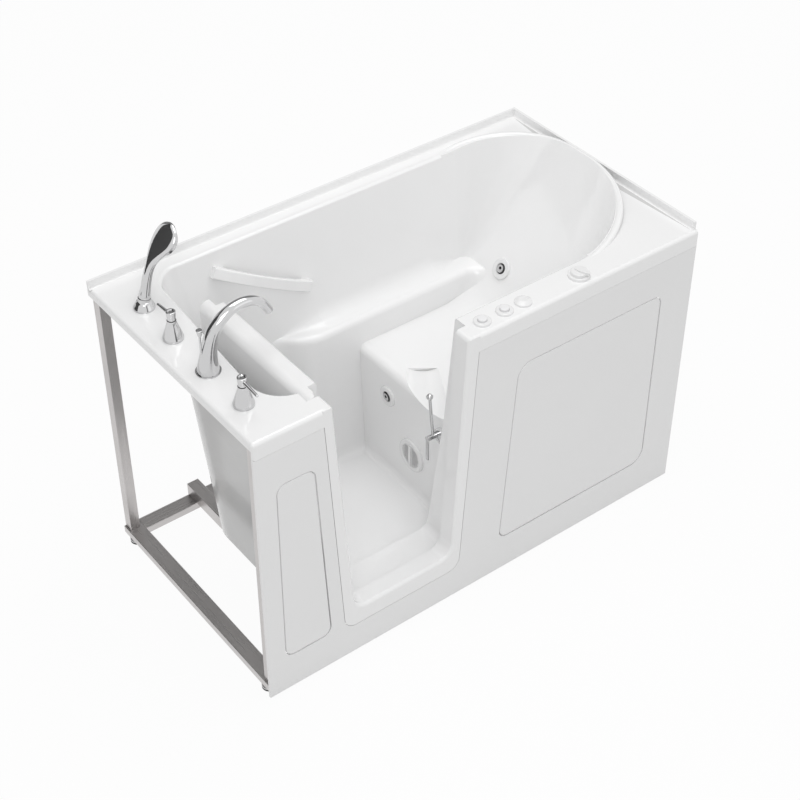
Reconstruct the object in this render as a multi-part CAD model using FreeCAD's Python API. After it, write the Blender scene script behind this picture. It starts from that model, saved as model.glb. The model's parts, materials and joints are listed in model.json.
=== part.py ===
import FreeCAD, Part
import math
import os

V = FreeCAD.Vector

# Sizes in millimetres. Names ending in _x run from the left end, _y from the front, _z from the floor
tub_length = 1524.0
tub_width = 813.0
deck_z = 953.0
overrun = 20.0
hair = 0.001
touch = 0.5
fit_play = 0.06
body_gap = 0.4
hole_play = 0.3
round_steps = 4

# Deck, lips and tile flange
deck_thick = 8.0
lip_thick = 8.0
front_lip_z = 900.0
left_lip_z = 929.0
deck_edge_r = 12.0
flange_rise = 25.0
flange_thick = 8.0
flange_cove_r = 7.0

# Basin: rim outline at the deck, ledge outline at the armrest, floor, seat and backrest
wall = 6.0
rim_left_front_x = 120.0
rim_left_back_x = 170.0
rim_head_inset = 30.0
rim_head_x = tub_length - rim_head_inset
rim_front_y = 101.0
rim_back_inset = 55.0
rim_back_y = tub_width - rim_back_inset
rim_left_front_r = 95.0
rim_left_back_r = 80.0
rim_front_share = 0.495
rim_back_share = 0.358
rim_head_front_r = (rim_back_y - rim_front_y) * rim_front_share
rim_head_back_r = (rim_back_y - rim_front_y) * rim_back_share
rim_flare_r = 9.0
ledge_z = 595.0
ledge_left_x = 168.0
ledge_head_inset = 274.0
ledge_head_x = tub_length - ledge_head_inset
ledge_front_y = 118.0
ledge_back_inset = 113.0
ledge_back_y = tub_width - ledge_back_inset
ledge_left_front_r = 90.0
ledge_left_back_r = 160.0
ledge_head_front_r = 150.0
ledge_head_back_r = 30.0
floor_z = 105.0
floor_left_x = 184.0
floor_front_y = 165.0
floor_back_inset = 209.0
floor_back_y = tub_width - floor_back_inset
bay_floor_inset = 163.0
bay_floor_y = tub_width - bay_floor_inset
bay_floor_r = 200.0
bay_front_r = 30.0
foot_end_r = 100.0
floor_side_r = 30.0
riser_x = 773.0
riser_foot_r = 25.0
seat_z = 505.0
seat_edge_r = 28.0
seat_back_r = 180.0
arm_inset = 184.0
arm_y = tub_width - arm_inset
arm_edge_r = 20.0
arm_bend_x = 605.0
arm_bend_share = 2.11
arm_lead_share = 1.41
arm_sweep_share = 0.875
arm_head_r = 60.0
arm_head_slip = 3.0
well_lap = 45.0
well_tuck = 12.0
arm_cove_r = 62.0
arm_cove_tail_r = 3.0
arm_cove_lead = 60.0
arm_cove_run = 75.0
arm_cove_fade = 150.0
arm_cove_stop = 50.0
scoop_foot_y = 304.0
scoop_foot_deep = 28.0
scoop_tip_run = 79.0
scoop_tip_y = 412.0
scoop_tip_deep = 13.0
scoop_r = 89.0

# Raised rim round the head
head_length = 334.0
head_start_x = tub_length - head_length
head_rise = 38.0
bead_r = 11.0
bead_set = 10.0
bead_head_set = 4.0
bead_lead = 40.0

# Door surround: outer seam, opening, stop and rabbet
seam_left_top_x = 212.0
seam_left_low_x = 262.0
seam_right_low_x = 668.0
seam_right_top_x = 720.0
seam_low_z = 118.0
seam_r = 40.0
open_left_top_x = 245.0
open_left_low_x = 298.0
open_right_low_x = 642.0
open_right_top_x = 682.0
open_low_z = 178.0
open_low_r = 45.0
open_flare_r = 12.0
open_deck_r = 14.0
open_wing = 36.0
stop_depth = 58.0
rabbet_left_x = 203.0
rabbet_right_low_x = 675.0
rabbet_right_top_x = 715.0
rabbet_low_z = 158.0
rabbet_corner_r = 30.0
rabbet_hinge_corner_r = 4.0
jamb_wall = 10.0
jamb_front_y = 10.0
jamb_back_y = 156.0

# Skirt and its access panels
skirt_low_z = 12.0
skirt_thick = 8.0
seam_gap = 1.5
panel_left_low_x = 61.0
panel_left_top_x = 64.0
panel_left_right_low_x = 212.0
panel_left_right_top_x = 179.0
panel_right_low_x = 823.0
panel_right_top_x = 865.0
panel_end_inset = 123.0
panel_right_end_x = tub_length - panel_end_inset
panel_low_z = 140.0
panel_top_drop = 122.0
panel_top_z = front_lip_z - panel_top_drop
panel_gap = 3.0
panel_r = 28.0
panel_big_r = 48.0
panel_edge_r = 2.0
catch_width = 40.0
catch_height = 46.0
catch_thick = 4.0
catch_inset = 90.0

# Door, hinge and seal, drawn shut and then swung open about the hinge axis
hinge_x = 221.0
hinge_y = 77.0
door_half = 16.0
door_plug = 29.0
door_play = 2.0
door_low_play = 3.0
plug_play = 3.5
door_top_r = 9.0
door_open_deg = 90.0
hinge_low_z = 250.0
hinge_high_z = 800.0
hinge_length = 60.0
hinge_slot_r = 17.0
hinge_knuckle_r = 14.0
hinge_leaf_half = 5.0
hinge_pin_r = 4.0
hinge_pin_lead = 24.0
seal_thick = 2.5
seal_inner = 2.0
seal_width = 9.0

# Latch on the right jamb
latch_y = 175.0
latch_z = 486.0
latch_axle_r = 5.0
latch_head_r = 7.5
latch_head_thick = 3.0
latch_hub_r = 8.5
latch_hub_left_x = 683.2
latch_finger_thick = 4.5
latch_finger_half = 5.0
latch_bracket_x = 716.0
latch_bracket_width = 20.0
latch_bracket_reach = 11.0
latch_bracket_half = 13.0
latch_bracket_foot = 38.0
latch_bracket_r = 9.0
latch_rod_r = 4.5
latch_rod_x = 705.0
latch_rod_lean = 9.0
latch_rod_back = 6.0
latch_rod_rise = 148.0
latch_ball_r = 10.0
strike_width = 26.0
strike_height = 44.0
strike_thick = 2.0
strike_inset = 3.0
strike_gap = 1.0

# Frame of square tube, bearers, tray and levelling feet
rail_width = 50.0
rail_high = 25.0
rail_low_z = 28.0
rail_left_x = 2.0
tube_wall = 2.0
post_side = 32.0
bearer_width = 40.0
bearer_left_x = 232.0
bearer_right_x = 620.0
tray_left_x = 800.0
tray_margin = 46.0
tray_thick = 4.0
foot_y = 48.0
foot_back_inset = 37.0
foot_back_y = tub_width - foot_back_inset
foot_middle_x = tub_length / 2
foot_disc_r = 21.5
foot_disc_thick = 6.0
foot_rubber_thick = 6.0
foot_stem_r = 6.0
foot_nut_half = 9.0
foot_nut_thick = 6.0

# Faucet set on the left deck
faucet_x = 72.0
handle_front_y = 144.0
spout_share = 0.381
spout_y = tub_width * spout_share
handle_back_share = 0.592
handle_back_y = tub_width * handle_back_share
holder_share = 0.791
holder_y = tub_width * holder_share
holder_x = 80.0
shank_r = 13.0
shank_drop = 34.0
supply_r = 10.0
supply_length = 36.0
shank_nut_half = 20.0
shank_nut_thick = 10.0
base_r = 28.5
base_foot = 7.0
base_waist_r = 13.0
base_rise = 54.0
base_curve_r = 40.0
base_edge_r = 3.0
base_collar = 3.0
lever_pin_r = 5.0
lever_pin_rise = 22.0
hub_r = 13.5
hub_rise = 35.0
hub_waist_r = 11.0
hub_dish_r = 9.0
hub_dish = 3.0
hub_edge_r = 2.0
lever_reach = 70.0
lever_root_r = 6.0
lever_tip_r = 4.0
lever_z_share = 0.62
lever_drop = 6.0
spout_reach = 192.0
spout_rise = 176.0
spout_root_r = 31.0
spout_shares = (
    (0.000, 0.000, 1.00, 0.0),
    (0.005, 0.110, 0.90, 4.0),
    (0.030, 0.330, 0.72, 12.0),
    (0.110, 0.620, 0.62, 24.0),
    (0.300, 0.850, 0.53, 48.0),
    (0.560, 0.945, 0.47, 78.0),
    (0.800, 0.885, 0.43, 108.0),
    (0.940, 0.730, 0.41, 136.0),
    (1.000, 0.610, 0.40, 152.0),
)
aerator_r = 9.5
aerator_length = 5.0
aerator_bore_share = 0.75
spout_plate = 3.0
diverter_x = 56.0
diverter_stem_r = 3.0
diverter_low_z = 965.0
diverter_stem_z = 1074.0
diverter_knob_r = 9.0
diverter_neck_r = 5.0
diverter_knob_rise = 19.0
diverter_edge_r = 1.5
holder_base_r = 30.0
holder_base_rise = 5.0
holder_top_r = 19.0
holder_rise = 26.0
holder_dome_r = 14.0
cup_r = 18.0
cup_length = 22.0
cup_drop = 8.0
cup_rise = 17.0
cup_floor = 3.0
handset_lean_deg = 12.0
handset_peg_r = 11.0
handset_length = 214.0
handset_shares = (
    (0.000, 0.356, 0.356, 0.000),
    (0.089, 0.344, 0.344, 0.022),
    (0.229, 0.300, 0.300, 0.044),
    (0.346, 0.300, 0.289, 0.089),
    (0.463, 0.356, 0.289, 0.200),
    (0.579, 0.578, 0.311, 0.400),
    (0.682, 0.844, 0.333, 0.667),
    (0.776, 1.000, 0.333, 0.933),
    (0.883, 0.911, 0.289, 1.156),
    (0.963, 0.578, 0.200, 1.289),
    (1.000, 0.178, 0.067, 1.333),
)
head_r = 45.0
head_centre_share = 0.776
head_shift_share = 0.933
head_tilt_deg = 27.6
head_face_r = 37.0
head_face_in = 2.0
head_face_out = 19.0
head_face_edge_r = 4.0
head_face_dish = 2.0
head_face_dish_r = 29.0

# Grab bar on the back wall
grab_left_x = 352.0
grab_left_z = 893.0
grab_right_x = 660.0
grab_right_z = 726.0
grab_high = 34.0
grab_thick = 13.0
grab_stand = 46.0
grab_end = 20.0
grab_foot = 8.0
grab_pad = 34.0
grab_edge_r = 4.0
grab_stud_r = 5.0
grab_stud = 14.0
grab_nut_half = 9.0
grab_nut_thick = 5.0
grab_back = 8.0

# Water jets, suction, drain
jet_ring_r = 34.0
jet_ring_thick = 7.0
jet_ring_edge_r = 4.0
jet_ring_lip_r = 2.0
jet_wall_skip = 8.0
jet_seat_r = 17.0
jet_bore_r = 24.0
jet_body_length = 44.0
jet_nut_r = 33.0
jet_nut_thick = 8.0
jet_nipple_r = 14.0
jet_nipple = 20.0
jet_nozzle_r = 13.0
jet_nozzle_deep = 12.0
jet_nozzle_proud = 3.0
jet_hole_r = 5.0
jet_hole_off = 2.0
jet_pipe_wall = 3.0
back_jet_inset = 269.0
back_jet_y = tub_width - back_jet_inset
back_jet_mirror_y = 316.0
back_jet_z = 620.0
riser_jet_inset = 334.0
riser_jet_y = tub_width - riser_jet_inset
riser_jet_z = 399.0
suction_y = 358.0
suction_z = 245.0
suction_r = 56.0
suction_thick = 9.0
suction_face_r = 42.0
suction_dish = 3.0
suction_edge_r = 5.0
suction_slot_half = 1.0
suction_slot_length = 66.0
suction_slot_pitch = 5.0
suction_slot_first = 2
suction_slot_last = 6
suction_bar_half = 5.0
suction_bar_rise = 7.0
suction_bar_length = 76.0
suction_bore_r = 30.0
suction_pipe_r = 22.0
suction_deep = 30.0
suction_nipple = 14.0
suction_nut_r = 42.0
suction_bend_r = 24.0
drain_x = 345.0
drain_y = 345.0
drain_flange_r = 36.0
drain_flange = 3.0
drain_bore_r = 26.0
drain_pipe_r = 22.0
drain_drop = 32.0
drain_tail_r = 19.0
drain_tail = 40.0
drain_cross_half = 4.0
drain_stem_r = 4.0
stopper_r = 29.0
stopper_rise = 9.0
stopper_stem = 24.0
stopper_edge = 3.0
stopper_edge_r = 1.0
stopper_knob_r = 10.0
stopper_curve_r = 14.0
drain_cross_rise = 5.0
drain_cross_drop = 18.0
drain_lip_r = 1.5

# Buttons, blank cap and air dial on the front deck
control_y = 44.0
button_lead = 41.0
button_pitch = 77.0
blank_pitch = 66.0
button_near_x = seam_right_top_x + button_lead
button_far_x = button_near_x + button_pitch
blank_x = button_far_x + blank_pitch
dial_share = 0.342
dial_x = blank_x + (rim_head_x - blank_x) * dial_share
bezel_r = 25.0
bezel_rise = 7.0
bezel_edge_r = 4.0
bezel_lip_r = 1.0
cap_post_r = 4.0
bezel_tube_r = 18.0
bezel_tube_drop = 34.0
cap_r = 13.0
cap_rise = 14.0
cap_skirt = 12.0
cap_edge_r = 3.0
blank_rise = 12.0
blank_foot = 5.0
blank_foot_r = 2.0
blank_top_r = 13.0
blank_curve_r = 12.0
dial_base_r = 32.0
dial_base_rise = 8.0
dial_r = 24.0
dial_rise = 9.0
dial_edge_r = 2.5
dial_wing_half = 8.0
dial_wing_rise = 5.0
dial_wing_length = 34.0
dial_wing_deg = -74.0
dial_wing_shares = (
    (-0.41, -0.62, 0.50), (0.30, -1.00, 2.50), (1.00, -0.19, 0.17),
    (1.00, 0.19, 0.17), (0.30, 1.00, 2.50), (-0.41, 0.62, 0.50),
)
dial_pin_r = 6.0
dial_pin_rise = 9.0
air_tube_r = 16.0
air_tube_drop = 50.0

# Pump under the seat
pump_x = 900.0
pump_y = 330.0
pump_z = 160.0
motor_r = 72.0
motor_length = 190.0
motor_cap_r = 64.0
motor_cap = 22.0
motor_foot_half = 60.0
motor_foot = 24.0
motor_fin_rise = 6.0
motor_fin_half = 3.0
motor_fins = 16
volute_r = 86.0
volute_depth = 54.0
volute_snout_r = 30.0
volute_snout = 26.0
outlet_r = 24.0
outlet_rise = 110.0
outlet_y = 360.0
pipe_r = 18.0
pipe_bend_r = 42.0
pipe_wall = 3.0
pipe_back = 60.0
tray_right_x = pump_x + volute_depth + motor_length + tray_margin

axes = {"plan": V(0, 0, 1), "front": V(0, 1, 0), "end": V(1, 0, 0)}
up = V(0, 0, 1)


def at(x, y, z):
    return V(x - tub_length / 2, y - tub_width / 2, z)


def on_plane(plane, level, a, b):
    if plane == "plan":
        return at(a, b, level)
    if plane == "front":
        return at(a, level, b)
    if plane == "end":
        return at(level, a, b)
    return V(a, 0, b)


def outline(corners, plane, level, grow=0.0):
    # Straight sides and round corners, counter-clockwise, each side moved outwards by grow
    count = len(corners)
    sides = []
    for i in range(count):
        start = V(corners[i][0], corners[i][1], 0)
        end = V(corners[(i + 1) % count][0], corners[(i + 1) % count][1], 0)
        along = (end - start).normalize()
        sides.append((start + V(along.y, -along.x, 0) * grow, along))
    bends = []
    for i in range(count):
        base, along = sides[i]
        last_base, last_along = sides[i - 1]
        across = V(along.y, -along.x, 0)
        turn = math.atan2(last_along.cross(along).z, last_along.dot(along))
        tip = last_base + last_along * ((base - last_base).dot(across) / last_along.dot(across))
        radius = corners[i][2]
        if radius > 0:
            radius = radius + grow * math.copysign(1, turn)
        cut = radius * math.tan(abs(turn) / 2)
        inwards = (along - last_along).normalize()
        middle = tip + inwards * (radius / math.cos(turn / 2) - radius)
        bends.append((tip - last_along * cut, middle, tip + along * cut, radius))
    edges = []
    for i in range(count):
        first, middle, last, radius = bends[i]
        ends = [on_plane(plane, level, p.x, p.y) for p in (first, middle, last, bends[(i + 1) % count][0])]
        if radius > 0:
            edges.append(Part.Arc(ends[0], ends[1], ends[2]).toShape())
        if (ends[3] - ends[2]).Length > hair:
            edges.append(Part.LineSegment(ends[2], ends[3]).toShape())
    return Part.Wire(edges)


def righted(shape):
    if shape.Volume < 0:
        shape.reverse()
    return shape


def prism(corners, plane, low, high, grow=0.0):
    return righted(Part.Face(outline(corners, plane, low, grow)).extrude(axes[plane] * (high - low)))


def loft(wires, ruled=True):
    return righted(Part.makeLoft(wires, True, ruled))


def turned(corners):
    return righted(Part.Face(outline(corners, "turn", 0)).revolve(V(), up, 360))


def block(x0, x1, y0, y1, z0, z1):
    return Part.makeBox(x1 - x0, y1 - y0, z1 - z0, at(x0, y0, z0))


def rod(x, y, z0, z1, radius):
    return Part.makeCylinder(radius, z1 - z0, at(x, y, z0))


def cross_rod(x0, x1, y, z, radius):
    return Part.makeCylinder(radius, x1 - x0, at(x0, y, z), axes["end"])


def hexagon(x, y, z0, z1, half):
    points = []
    for i in range(7):
        angle = math.pi * i / 3
        points.append(at(x + half * math.cos(angle), y + half * math.sin(angle), z0))
    return Part.Face(Part.makePolygon(points)).extrude(up * (z1 - z0))


def placed(shape, base, direction):
    moved = shape.copy()
    moved.Placement = FreeCAD.Placement(base, FreeCAD.Rotation(up, direction)).multiply(moved.Placement)
    return moved


def run(points, bend):
    # A path of straight lengths with round bends
    edges = []
    last = points[0]
    for i in range(1, len(points) - 1):
        before = (points[i] - points[i - 1]).normalize()
        after = (points[i + 1] - points[i]).normalize()
        turn = before.getAngle(after)
        cut = bend * math.tan(turn / 2)
        middle = points[i] + (after - before).normalize() * (bend / math.cos(turn / 2) - bend)
        first = points[i] - before * cut
        edges.append(Part.LineSegment(last, first).toShape())
        last = points[i] + after * cut
        edges.append(Part.Arc(first, middle, last).toShape())
    edges.append(Part.LineSegment(last, points[-1]).toShape())
    return Part.Wire(edges)


def pipe(points, bend, radius):
    ring = Part.Wire(Part.makeCircle(radius, points[0], points[1] - points[0]))
    return righted(run(points, bend).makePipeShell([ring], True, False))


def joined(shapes):
    return shapes[0].fuse(shapes[1:]).removeSplitter() if len(shapes) > 1 else shapes[0]


def edges_near(shape, test):
    return [edge for edge in shape.Edges if all(test(vertex.Point) for vertex in edge.Vertexes)]


def mix(low, high, share):
    return low + (high - low) * share


def slant(top, low, top_z, low_z, z):
    return mix(low, top, (z - low_z) / (top_z - low_z))


def trough(left_top, left_low, right_low, right_top, low_z, radii, top_z):
    # A tapering upright opening, its sides carried on up to top_z
    left = slant(left_top, left_low, deck_z, low_z, top_z)
    right = slant(right_top, right_low, deck_z, low_z, top_z)
    return ((left, top_z, 0), (left_low, low_z, radii[0]), (right_low, low_z, radii[1]), (right, top_z, 0))


def round_over(level, radius, into):
    layers = []
    for i in range(round_steps + 1):
        angle = math.pi / 2 * i / round_steps
        layers.append((level + into * radius * (1 - math.cos(angle)), radius * (1 - math.sin(angle))))
    return layers


# Basin forms
ledge_plan = (
    (ledge_left_x, ledge_front_y, ledge_left_front_r),
    (ledge_head_x, ledge_front_y, ledge_head_front_r),
    (ledge_head_x, ledge_back_y, ledge_head_back_r),
    (ledge_left_x, ledge_back_y, ledge_left_back_r),
)
rim_plan = (
    (rim_left_front_x, rim_front_y, rim_left_front_r),
    (rim_head_x, rim_front_y, rim_head_front_r),
    (rim_head_x, rim_back_y, rim_head_back_r),
    (rim_left_back_x, rim_back_y, rim_left_back_r),
)
rim_top_z = deck_z + head_rise
back_slope = (rim_head_x - ledge_head_x) / (rim_top_z - ledge_z)
back_foot_x = ledge_head_x - (ledge_z - seat_z) * back_slope
well_top_z = ledge_z + well_lap


def back_x(z):
    return ledge_head_x + (z - ledge_z) * back_slope


def front_wall_y(z):
    return slant(ledge_front_y, floor_front_y, ledge_z, floor_z, z)


def basin_plan(z):
    # The upper basin, its backrest running on up to the raised head rim
    share = (z - ledge_z) / (deck_z - ledge_z)
    plan = []
    for ledge_corner, rim_corner in zip(ledge_plan, rim_plan):
        x, y, radius = (mix(low, high, share) for low, high in zip(ledge_corner, rim_corner))
        plan.append((back_x(z) if rim_corner[0] == rim_head_x else x, y, radius))
    return tuple(plan)


def well_plan(z, ease):
    # The lower basin: the armrest fades into the back wall towards the foot end
    front = front_wall_y(z)
    left = slant(ledge_left_x, floor_left_x, ledge_z, floor_z, z)
    back = slant(ledge_back_y, bay_floor_y, ledge_z, floor_z, z)
    arm = slant(arm_y, floor_back_y, ledge_z, floor_z, z) + ease
    step = back - arm
    right = back_x(z) + arm_head_slip
    return (
        (left, front, slant(ledge_left_front_r, bay_front_r + floor_side_r, ledge_z, floor_z, z)),
        (right, front, ledge_head_front_r),
        (right, arm, arm_head_r),
        (arm_bend_x, arm, step * arm_bend_share),
        (arm_bend_x - step / arm_sweep_share, back, step * arm_lead_share),
        (left, back, slant(ledge_left_back_r, bay_floor_r, ledge_z, floor_z, z)),
    )


def arm_cove():
    # Soft hollow where the armrest meets the back wall, fading out at both ends
    corner = V(ledge_back_y, ledge_z, 0)
    climb = V((rim_back_y - ledge_back_y) / (deck_z - ledge_z), 1, 0).normalize()
    level = V(-1, 0, 0)
    half = level.getAngle(climb) / 2
    middle_way = (level + climb).normalize()
    wires = []
    for x, radius in (
        (arm_bend_x - arm_cove_lead, arm_cove_tail_r), (arm_bend_x + arm_cove_run, arm_cove_r),
        (ledge_head_x - arm_cove_fade, arm_cove_r), (ledge_head_x - arm_cove_stop, arm_cove_tail_r),
    ):
        reach = radius / math.tan(half)
        low = corner + level * reach
        high = corner + climb * reach
        spots = [
            low, corner + middle_way * (radius / math.sin(half) - radius), high,
            high + V(touch, 0, 0), corner + V(touch, -touch, 0), low - V(0, touch, 0),
        ]
        ends = [on_plane("end", x, spot.x, spot.y) for spot in spots]
        edges = [Part.Arc(ends[0], ends[1], ends[2]).toShape()]
        for i in range(2, len(ends)):
            edges.append(Part.LineSegment(ends[i], ends[(i + 1) % len(ends)]).toShape())
        wires.append(Part.Wire(edges))
    return loft(wires)


def scoop(grow):
    # Dished front corner of the seat, sloping down towards the door
    foot = at(riser_x, scoop_foot_y, seat_z - scoop_foot_deep + scoop_r)
    tip = at(riser_x + scoop_tip_run, scoop_tip_y, seat_z - scoop_tip_deep + scoop_r)
    way = (tip - foot).normalize()
    start = foot - way * scoop_r * 2
    trough_form = Part.makeCylinder(scoop_r + grow, (tip - start).Length + grow, start, way)
    limit = block(riser_x + grow - scoop_r, tub_length, ledge_front_y, tub_width, floor_z, ledge_z)
    if grow > 0:
        limit = block(riser_x + grow / 2, tub_length, ledge_front_y, tub_width, floor_z, seat_z - grow / 2)
    return trough_form.common(limit)


def basin(grow):
    low_z = ledge_z - grow
    high_z = rim_top_z + overrun
    upper = loft([outline(basin_plan(z), "plan", z, grow) for z in (low_z, high_z)])
    side = (
        (floor_left_x - well_tuck, floor_z, foot_end_r),
        (riser_x, floor_z, riser_foot_r),
        (riser_x, seat_z, seat_edge_r),
        (back_foot_x, seat_z, seat_back_r),
        (ledge_head_x, ledge_z, 0),
        (ledge_head_x - well_tuck, well_top_z, 0),
        (ledge_left_x - well_tuck, well_top_z, 0),
        (ledge_left_x - well_tuck, ledge_z, 0),
    )
    wires = []
    for z, inset in round_over(floor_z - touch, floor_side_r, 1):
        wires.append(outline(well_plan(z, 0), "plan", z - grow, grow - inset))
    for z, ease in reversed(round_over(ledge_z, arm_edge_r, -1)):
        wires.append(outline(well_plan(z, ease), "plan", z - grow, grow))
    wires.append(outline(well_plan(ledge_z, arm_edge_r), "plan", well_top_z, grow - well_tuck))
    well = loft(wires)
    well = well.common(prism(ledge_plan, "plan", 0, well_top_z - wall, grow))
    well = well.common(prism(side, "front", 0, tub_width, grow))
    return upper.fuse(well)


def head_plane_z(x):
    return deck_z + head_rise * (x - head_start_x) / (rim_head_x - head_start_x)


def under_head(drop):
    # Everything below the deck, and below the tilted plane of the raised head rim
    return prism((
        (0, 0, 0),
        (tub_length, 0, 0),
        (tub_length, head_plane_z(tub_length) - drop, 0),
        (head_climb_x(drop), deck_z - touch, 0),
        (0, deck_z - touch, 0),
    ), "front", 0, tub_width)


def head_climb_x(drop):
    return head_start_x + (drop - touch) * (rim_head_x - head_start_x) / head_rise


def head_bead():
    plan = [(min(x, rim_head_x - bead_head_set), y, radius) for x, y, radius in basin_plan(rim_top_z)]
    corners = outline(plan, "plan", deck_z - bead_r, bead_set).Edges
    start_x = head_start_x - bead_lead
    front_arc, head_line, back_arc = corners[2], corners[3], corners[4]
    front_end = front_arc.Vertexes[0].Point
    back_end = back_arc.Vertexes[1].Point
    level = deck_z - bead_r
    front_start = V(min(at(start_x, 0, 0).x, front_end.x - bead_lead), front_end.y, level)
    back_start = V(min(at(start_x, 0, 0).x, back_end.x - bead_lead), back_end.y, level)
    path = Part.Wire([
        Part.LineSegment(front_start, front_end).toShape(), front_arc, head_line, back_arc,
        Part.LineSegment(back_end, back_start).toShape(),
    ])
    ring = Part.Wire(Part.makeCircle(bead_r, front_start, axes["end"]))
    bead = righted(path.makePipeShell([ring], True, False))
    tilt = math.degrees(math.atan2(head_rise, rim_head_x - head_start_x))
    bead.rotate(at(head_start_x, 0, level), axes["front"], -tilt)
    return bead


def opening(top_z):
    return trough(open_left_top_x, open_left_low_x, open_right_low_x, open_right_top_x,
                  open_low_z, (open_low_r, open_low_r), top_z)


def rabbet(top_z):
    return trough(rabbet_left_x, rabbet_left_x, rabbet_right_low_x, rabbet_right_top_x,
                  rabbet_low_z, (rabbet_hinge_corner_r, rabbet_corner_r), top_z)


def seam(top_z):
    return trough(seam_left_top_x, seam_left_low_x, seam_right_low_x, seam_right_top_x,
                  seam_low_z, (seam_r, seam_r), top_z)


def deck_tray():
    deck = block(0, tub_length, 0, tub_width, deck_z - deck_thick, deck_z)
    front_lip = block(0, tub_length, 0, lip_thick, front_lip_z, deck_z)
    left_lip = block(0, lip_thick, 0, tub_width, left_lip_z, deck_z)
    tray = joined([deck, front_lip, left_lip])
    corner = at(0, 0, deck_z)
    edges = edges_near(tray, lambda p: abs(p.z - corner.z) < hair and abs(p.y - corner.y) < hair)
    edges += edges_near(tray, lambda p: abs(p.z - corner.z) < hair and abs(p.x - corner.x) < hair)
    edges += edges_near(tray, lambda p: abs(p.x - corner.x) < hair and abs(p.y - corner.y) < hair)
    tray = tray.makeFillet(deck_edge_r, edges)
    flange_z = deck_z + flange_rise
    back = block(0, tub_length, tub_width - flange_thick, tub_width, deck_z - deck_thick, flange_z)
    right = block(tub_length - flange_thick, tub_length, deck_edge_r, tub_width, deck_z - deck_thick, flange_z)
    return joined([tray, back, right])


def cove():
    # Hollow fillet where the deck meets the tile flange
    shapes = []
    for plane, edge, start, end in (
        ("end", tub_width - flange_thick, 0, tub_length - flange_thick),
        ("front", tub_length - flange_thick, deck_edge_r, tub_width - flange_thick),
    ):
        corner = on_plane(plane, start, edge, deck_z)
        low = on_plane(plane, start, edge - flange_cove_r, deck_z)
        high = on_plane(plane, start, edge, deck_z + flange_cove_r)
        bow = flange_cove_r * (1 - math.sqrt(2) / 2)
        middle = on_plane(plane, start, edge - bow, deck_z + bow)
        wire = Part.Wire([
            Part.LineSegment(high, corner).toShape(),
            Part.LineSegment(corner, low).toShape(),
            Part.Arc(low, middle, high).toShape(),
        ])
        shapes.append(righted(Part.Face(wire).extrude(axes[plane] * (end - start))))
    return shapes


def jet_places():
    face = V(-1, 0, back_slope).normalize()
    back_jet_x = back_x(back_jet_z)
    return {
        "back_far": (at(back_jet_x, back_jet_y, back_jet_z), face),
        "back_near": (at(back_jet_x, back_jet_mirror_y, back_jet_z), face),
        "riser": (at(riser_x, riser_jet_y, riser_jet_z), -axes["end"]),
    }


def grab_frame():
    # Points and directions of the grab bar on the sloping back wall
    rise = (rim_back_y - ledge_back_y) / (deck_z - ledge_z)
    left = at(grab_left_x, ledge_back_y + (grab_left_z - ledge_z) * rise, grab_left_z)
    right = at(grab_right_x, ledge_back_y + (grab_right_z - ledge_z) * rise, grab_right_z)
    along = (right - left).normalize()
    out = V(0, -1, rise).normalize()
    return left, right, along, out, out.cross(along)


def shell_holes():
    holes = []
    for x, y in shank_places():
        holes.append(rod(x, y, deck_z - overrun, deck_z + overrun, shank_r + hole_play))
    for x in (button_near_x, button_far_x, blank_x):
        holes.append(rod(x, control_y, deck_z - overrun, deck_z + overrun, bezel_tube_r + hole_play))
    holes.append(rod(dial_x, control_y, deck_z - overrun, deck_z + overrun, air_tube_r + hole_play))
    for base, face in jet_places().values():
        holes.append(placed(rod_local(jet_bore_r + hole_play, -overrun, overrun), base, face))
    suction = at(riser_x, suction_y, suction_z)
    holes.append(placed(rod_local(suction_bore_r + hole_play, -overrun, overrun), suction, -axes["end"]))
    holes.append(rod(drain_x, drain_y, floor_z - overrun, floor_z + overrun, drain_bore_r + hole_play))
    left, right, along, out, side = grab_frame()
    for base in (left + along * grab_pad / 2, right - along * grab_pad / 2):
        holes.append(placed(rod_local(grab_stud_r + hole_play, -overrun, overrun), base, out))
    return holes


def rod_local(radius, low, high):
    return Part.makeCylinder(radius, high - low, V(0, 0, low))


def shank_places():
    return ((faucet_x, handle_front_y), (faucet_x, spout_y), (faucet_x, handle_back_y), (holder_x, holder_y))


def tub_shell():
    inside = basin(0)
    skin = basin(wall).common(under_head(bead_r / 2))
    stop = prism(seam(deck_z - touch), "front", 0, stop_depth)
    jamb = prism(rabbet(deck_z - touch - jamb_wall), "front", jamb_front_y, jamb_back_y, jamb_wall)
    bead = head_bead()
    shell = joined([deck_tray(), skin, stop, jamb, bead, scoop(wall)] + cove())
    flare = []
    for level, grow in [(deck_z + overrun, rim_flare_r)] + round_over(deck_z, rim_flare_r, -1):
        flare.append(outline(basin_plan(min(level, deck_z)), "plan", level, grow - touch))
    flare = loft(flare).common(block(0, head_start_x, 0, tub_width, floor_z, deck_z + overrun))
    top_z = deck_z + overrun
    wings = opening(deck_z)
    way = (
        (wings[0][0] - open_wing, top_z, 0), (wings[0][0] - open_wing, deck_z, 0),
        (wings[0][0], deck_z, open_deck_r), wings[1], wings[2],
        (wings[3][0], deck_z, open_deck_r), (wings[3][0] + open_wing, deck_z, 0),
        (wings[3][0] + open_wing, top_z, 0),
    )
    mouth = [outline(opening(top_z), "front", -overrun, open_flare_r)]
    for level, grow in round_over(0, open_flare_r, 1):
        mouth.append(outline(opening(top_z), "front", level, grow - touch))
    tools = [inside, flare, prism(way, "front", -overrun, stop_depth + touch), loft(mouth)]
    tools.append(prism(rabbet(top_z), "front", stop_depth, jamb_back_y + overrun))
    tools.append(scoop(0))
    return shell.cut(tools + shell_holes()).fuse(arm_cove()).removeSplitter()


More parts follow.
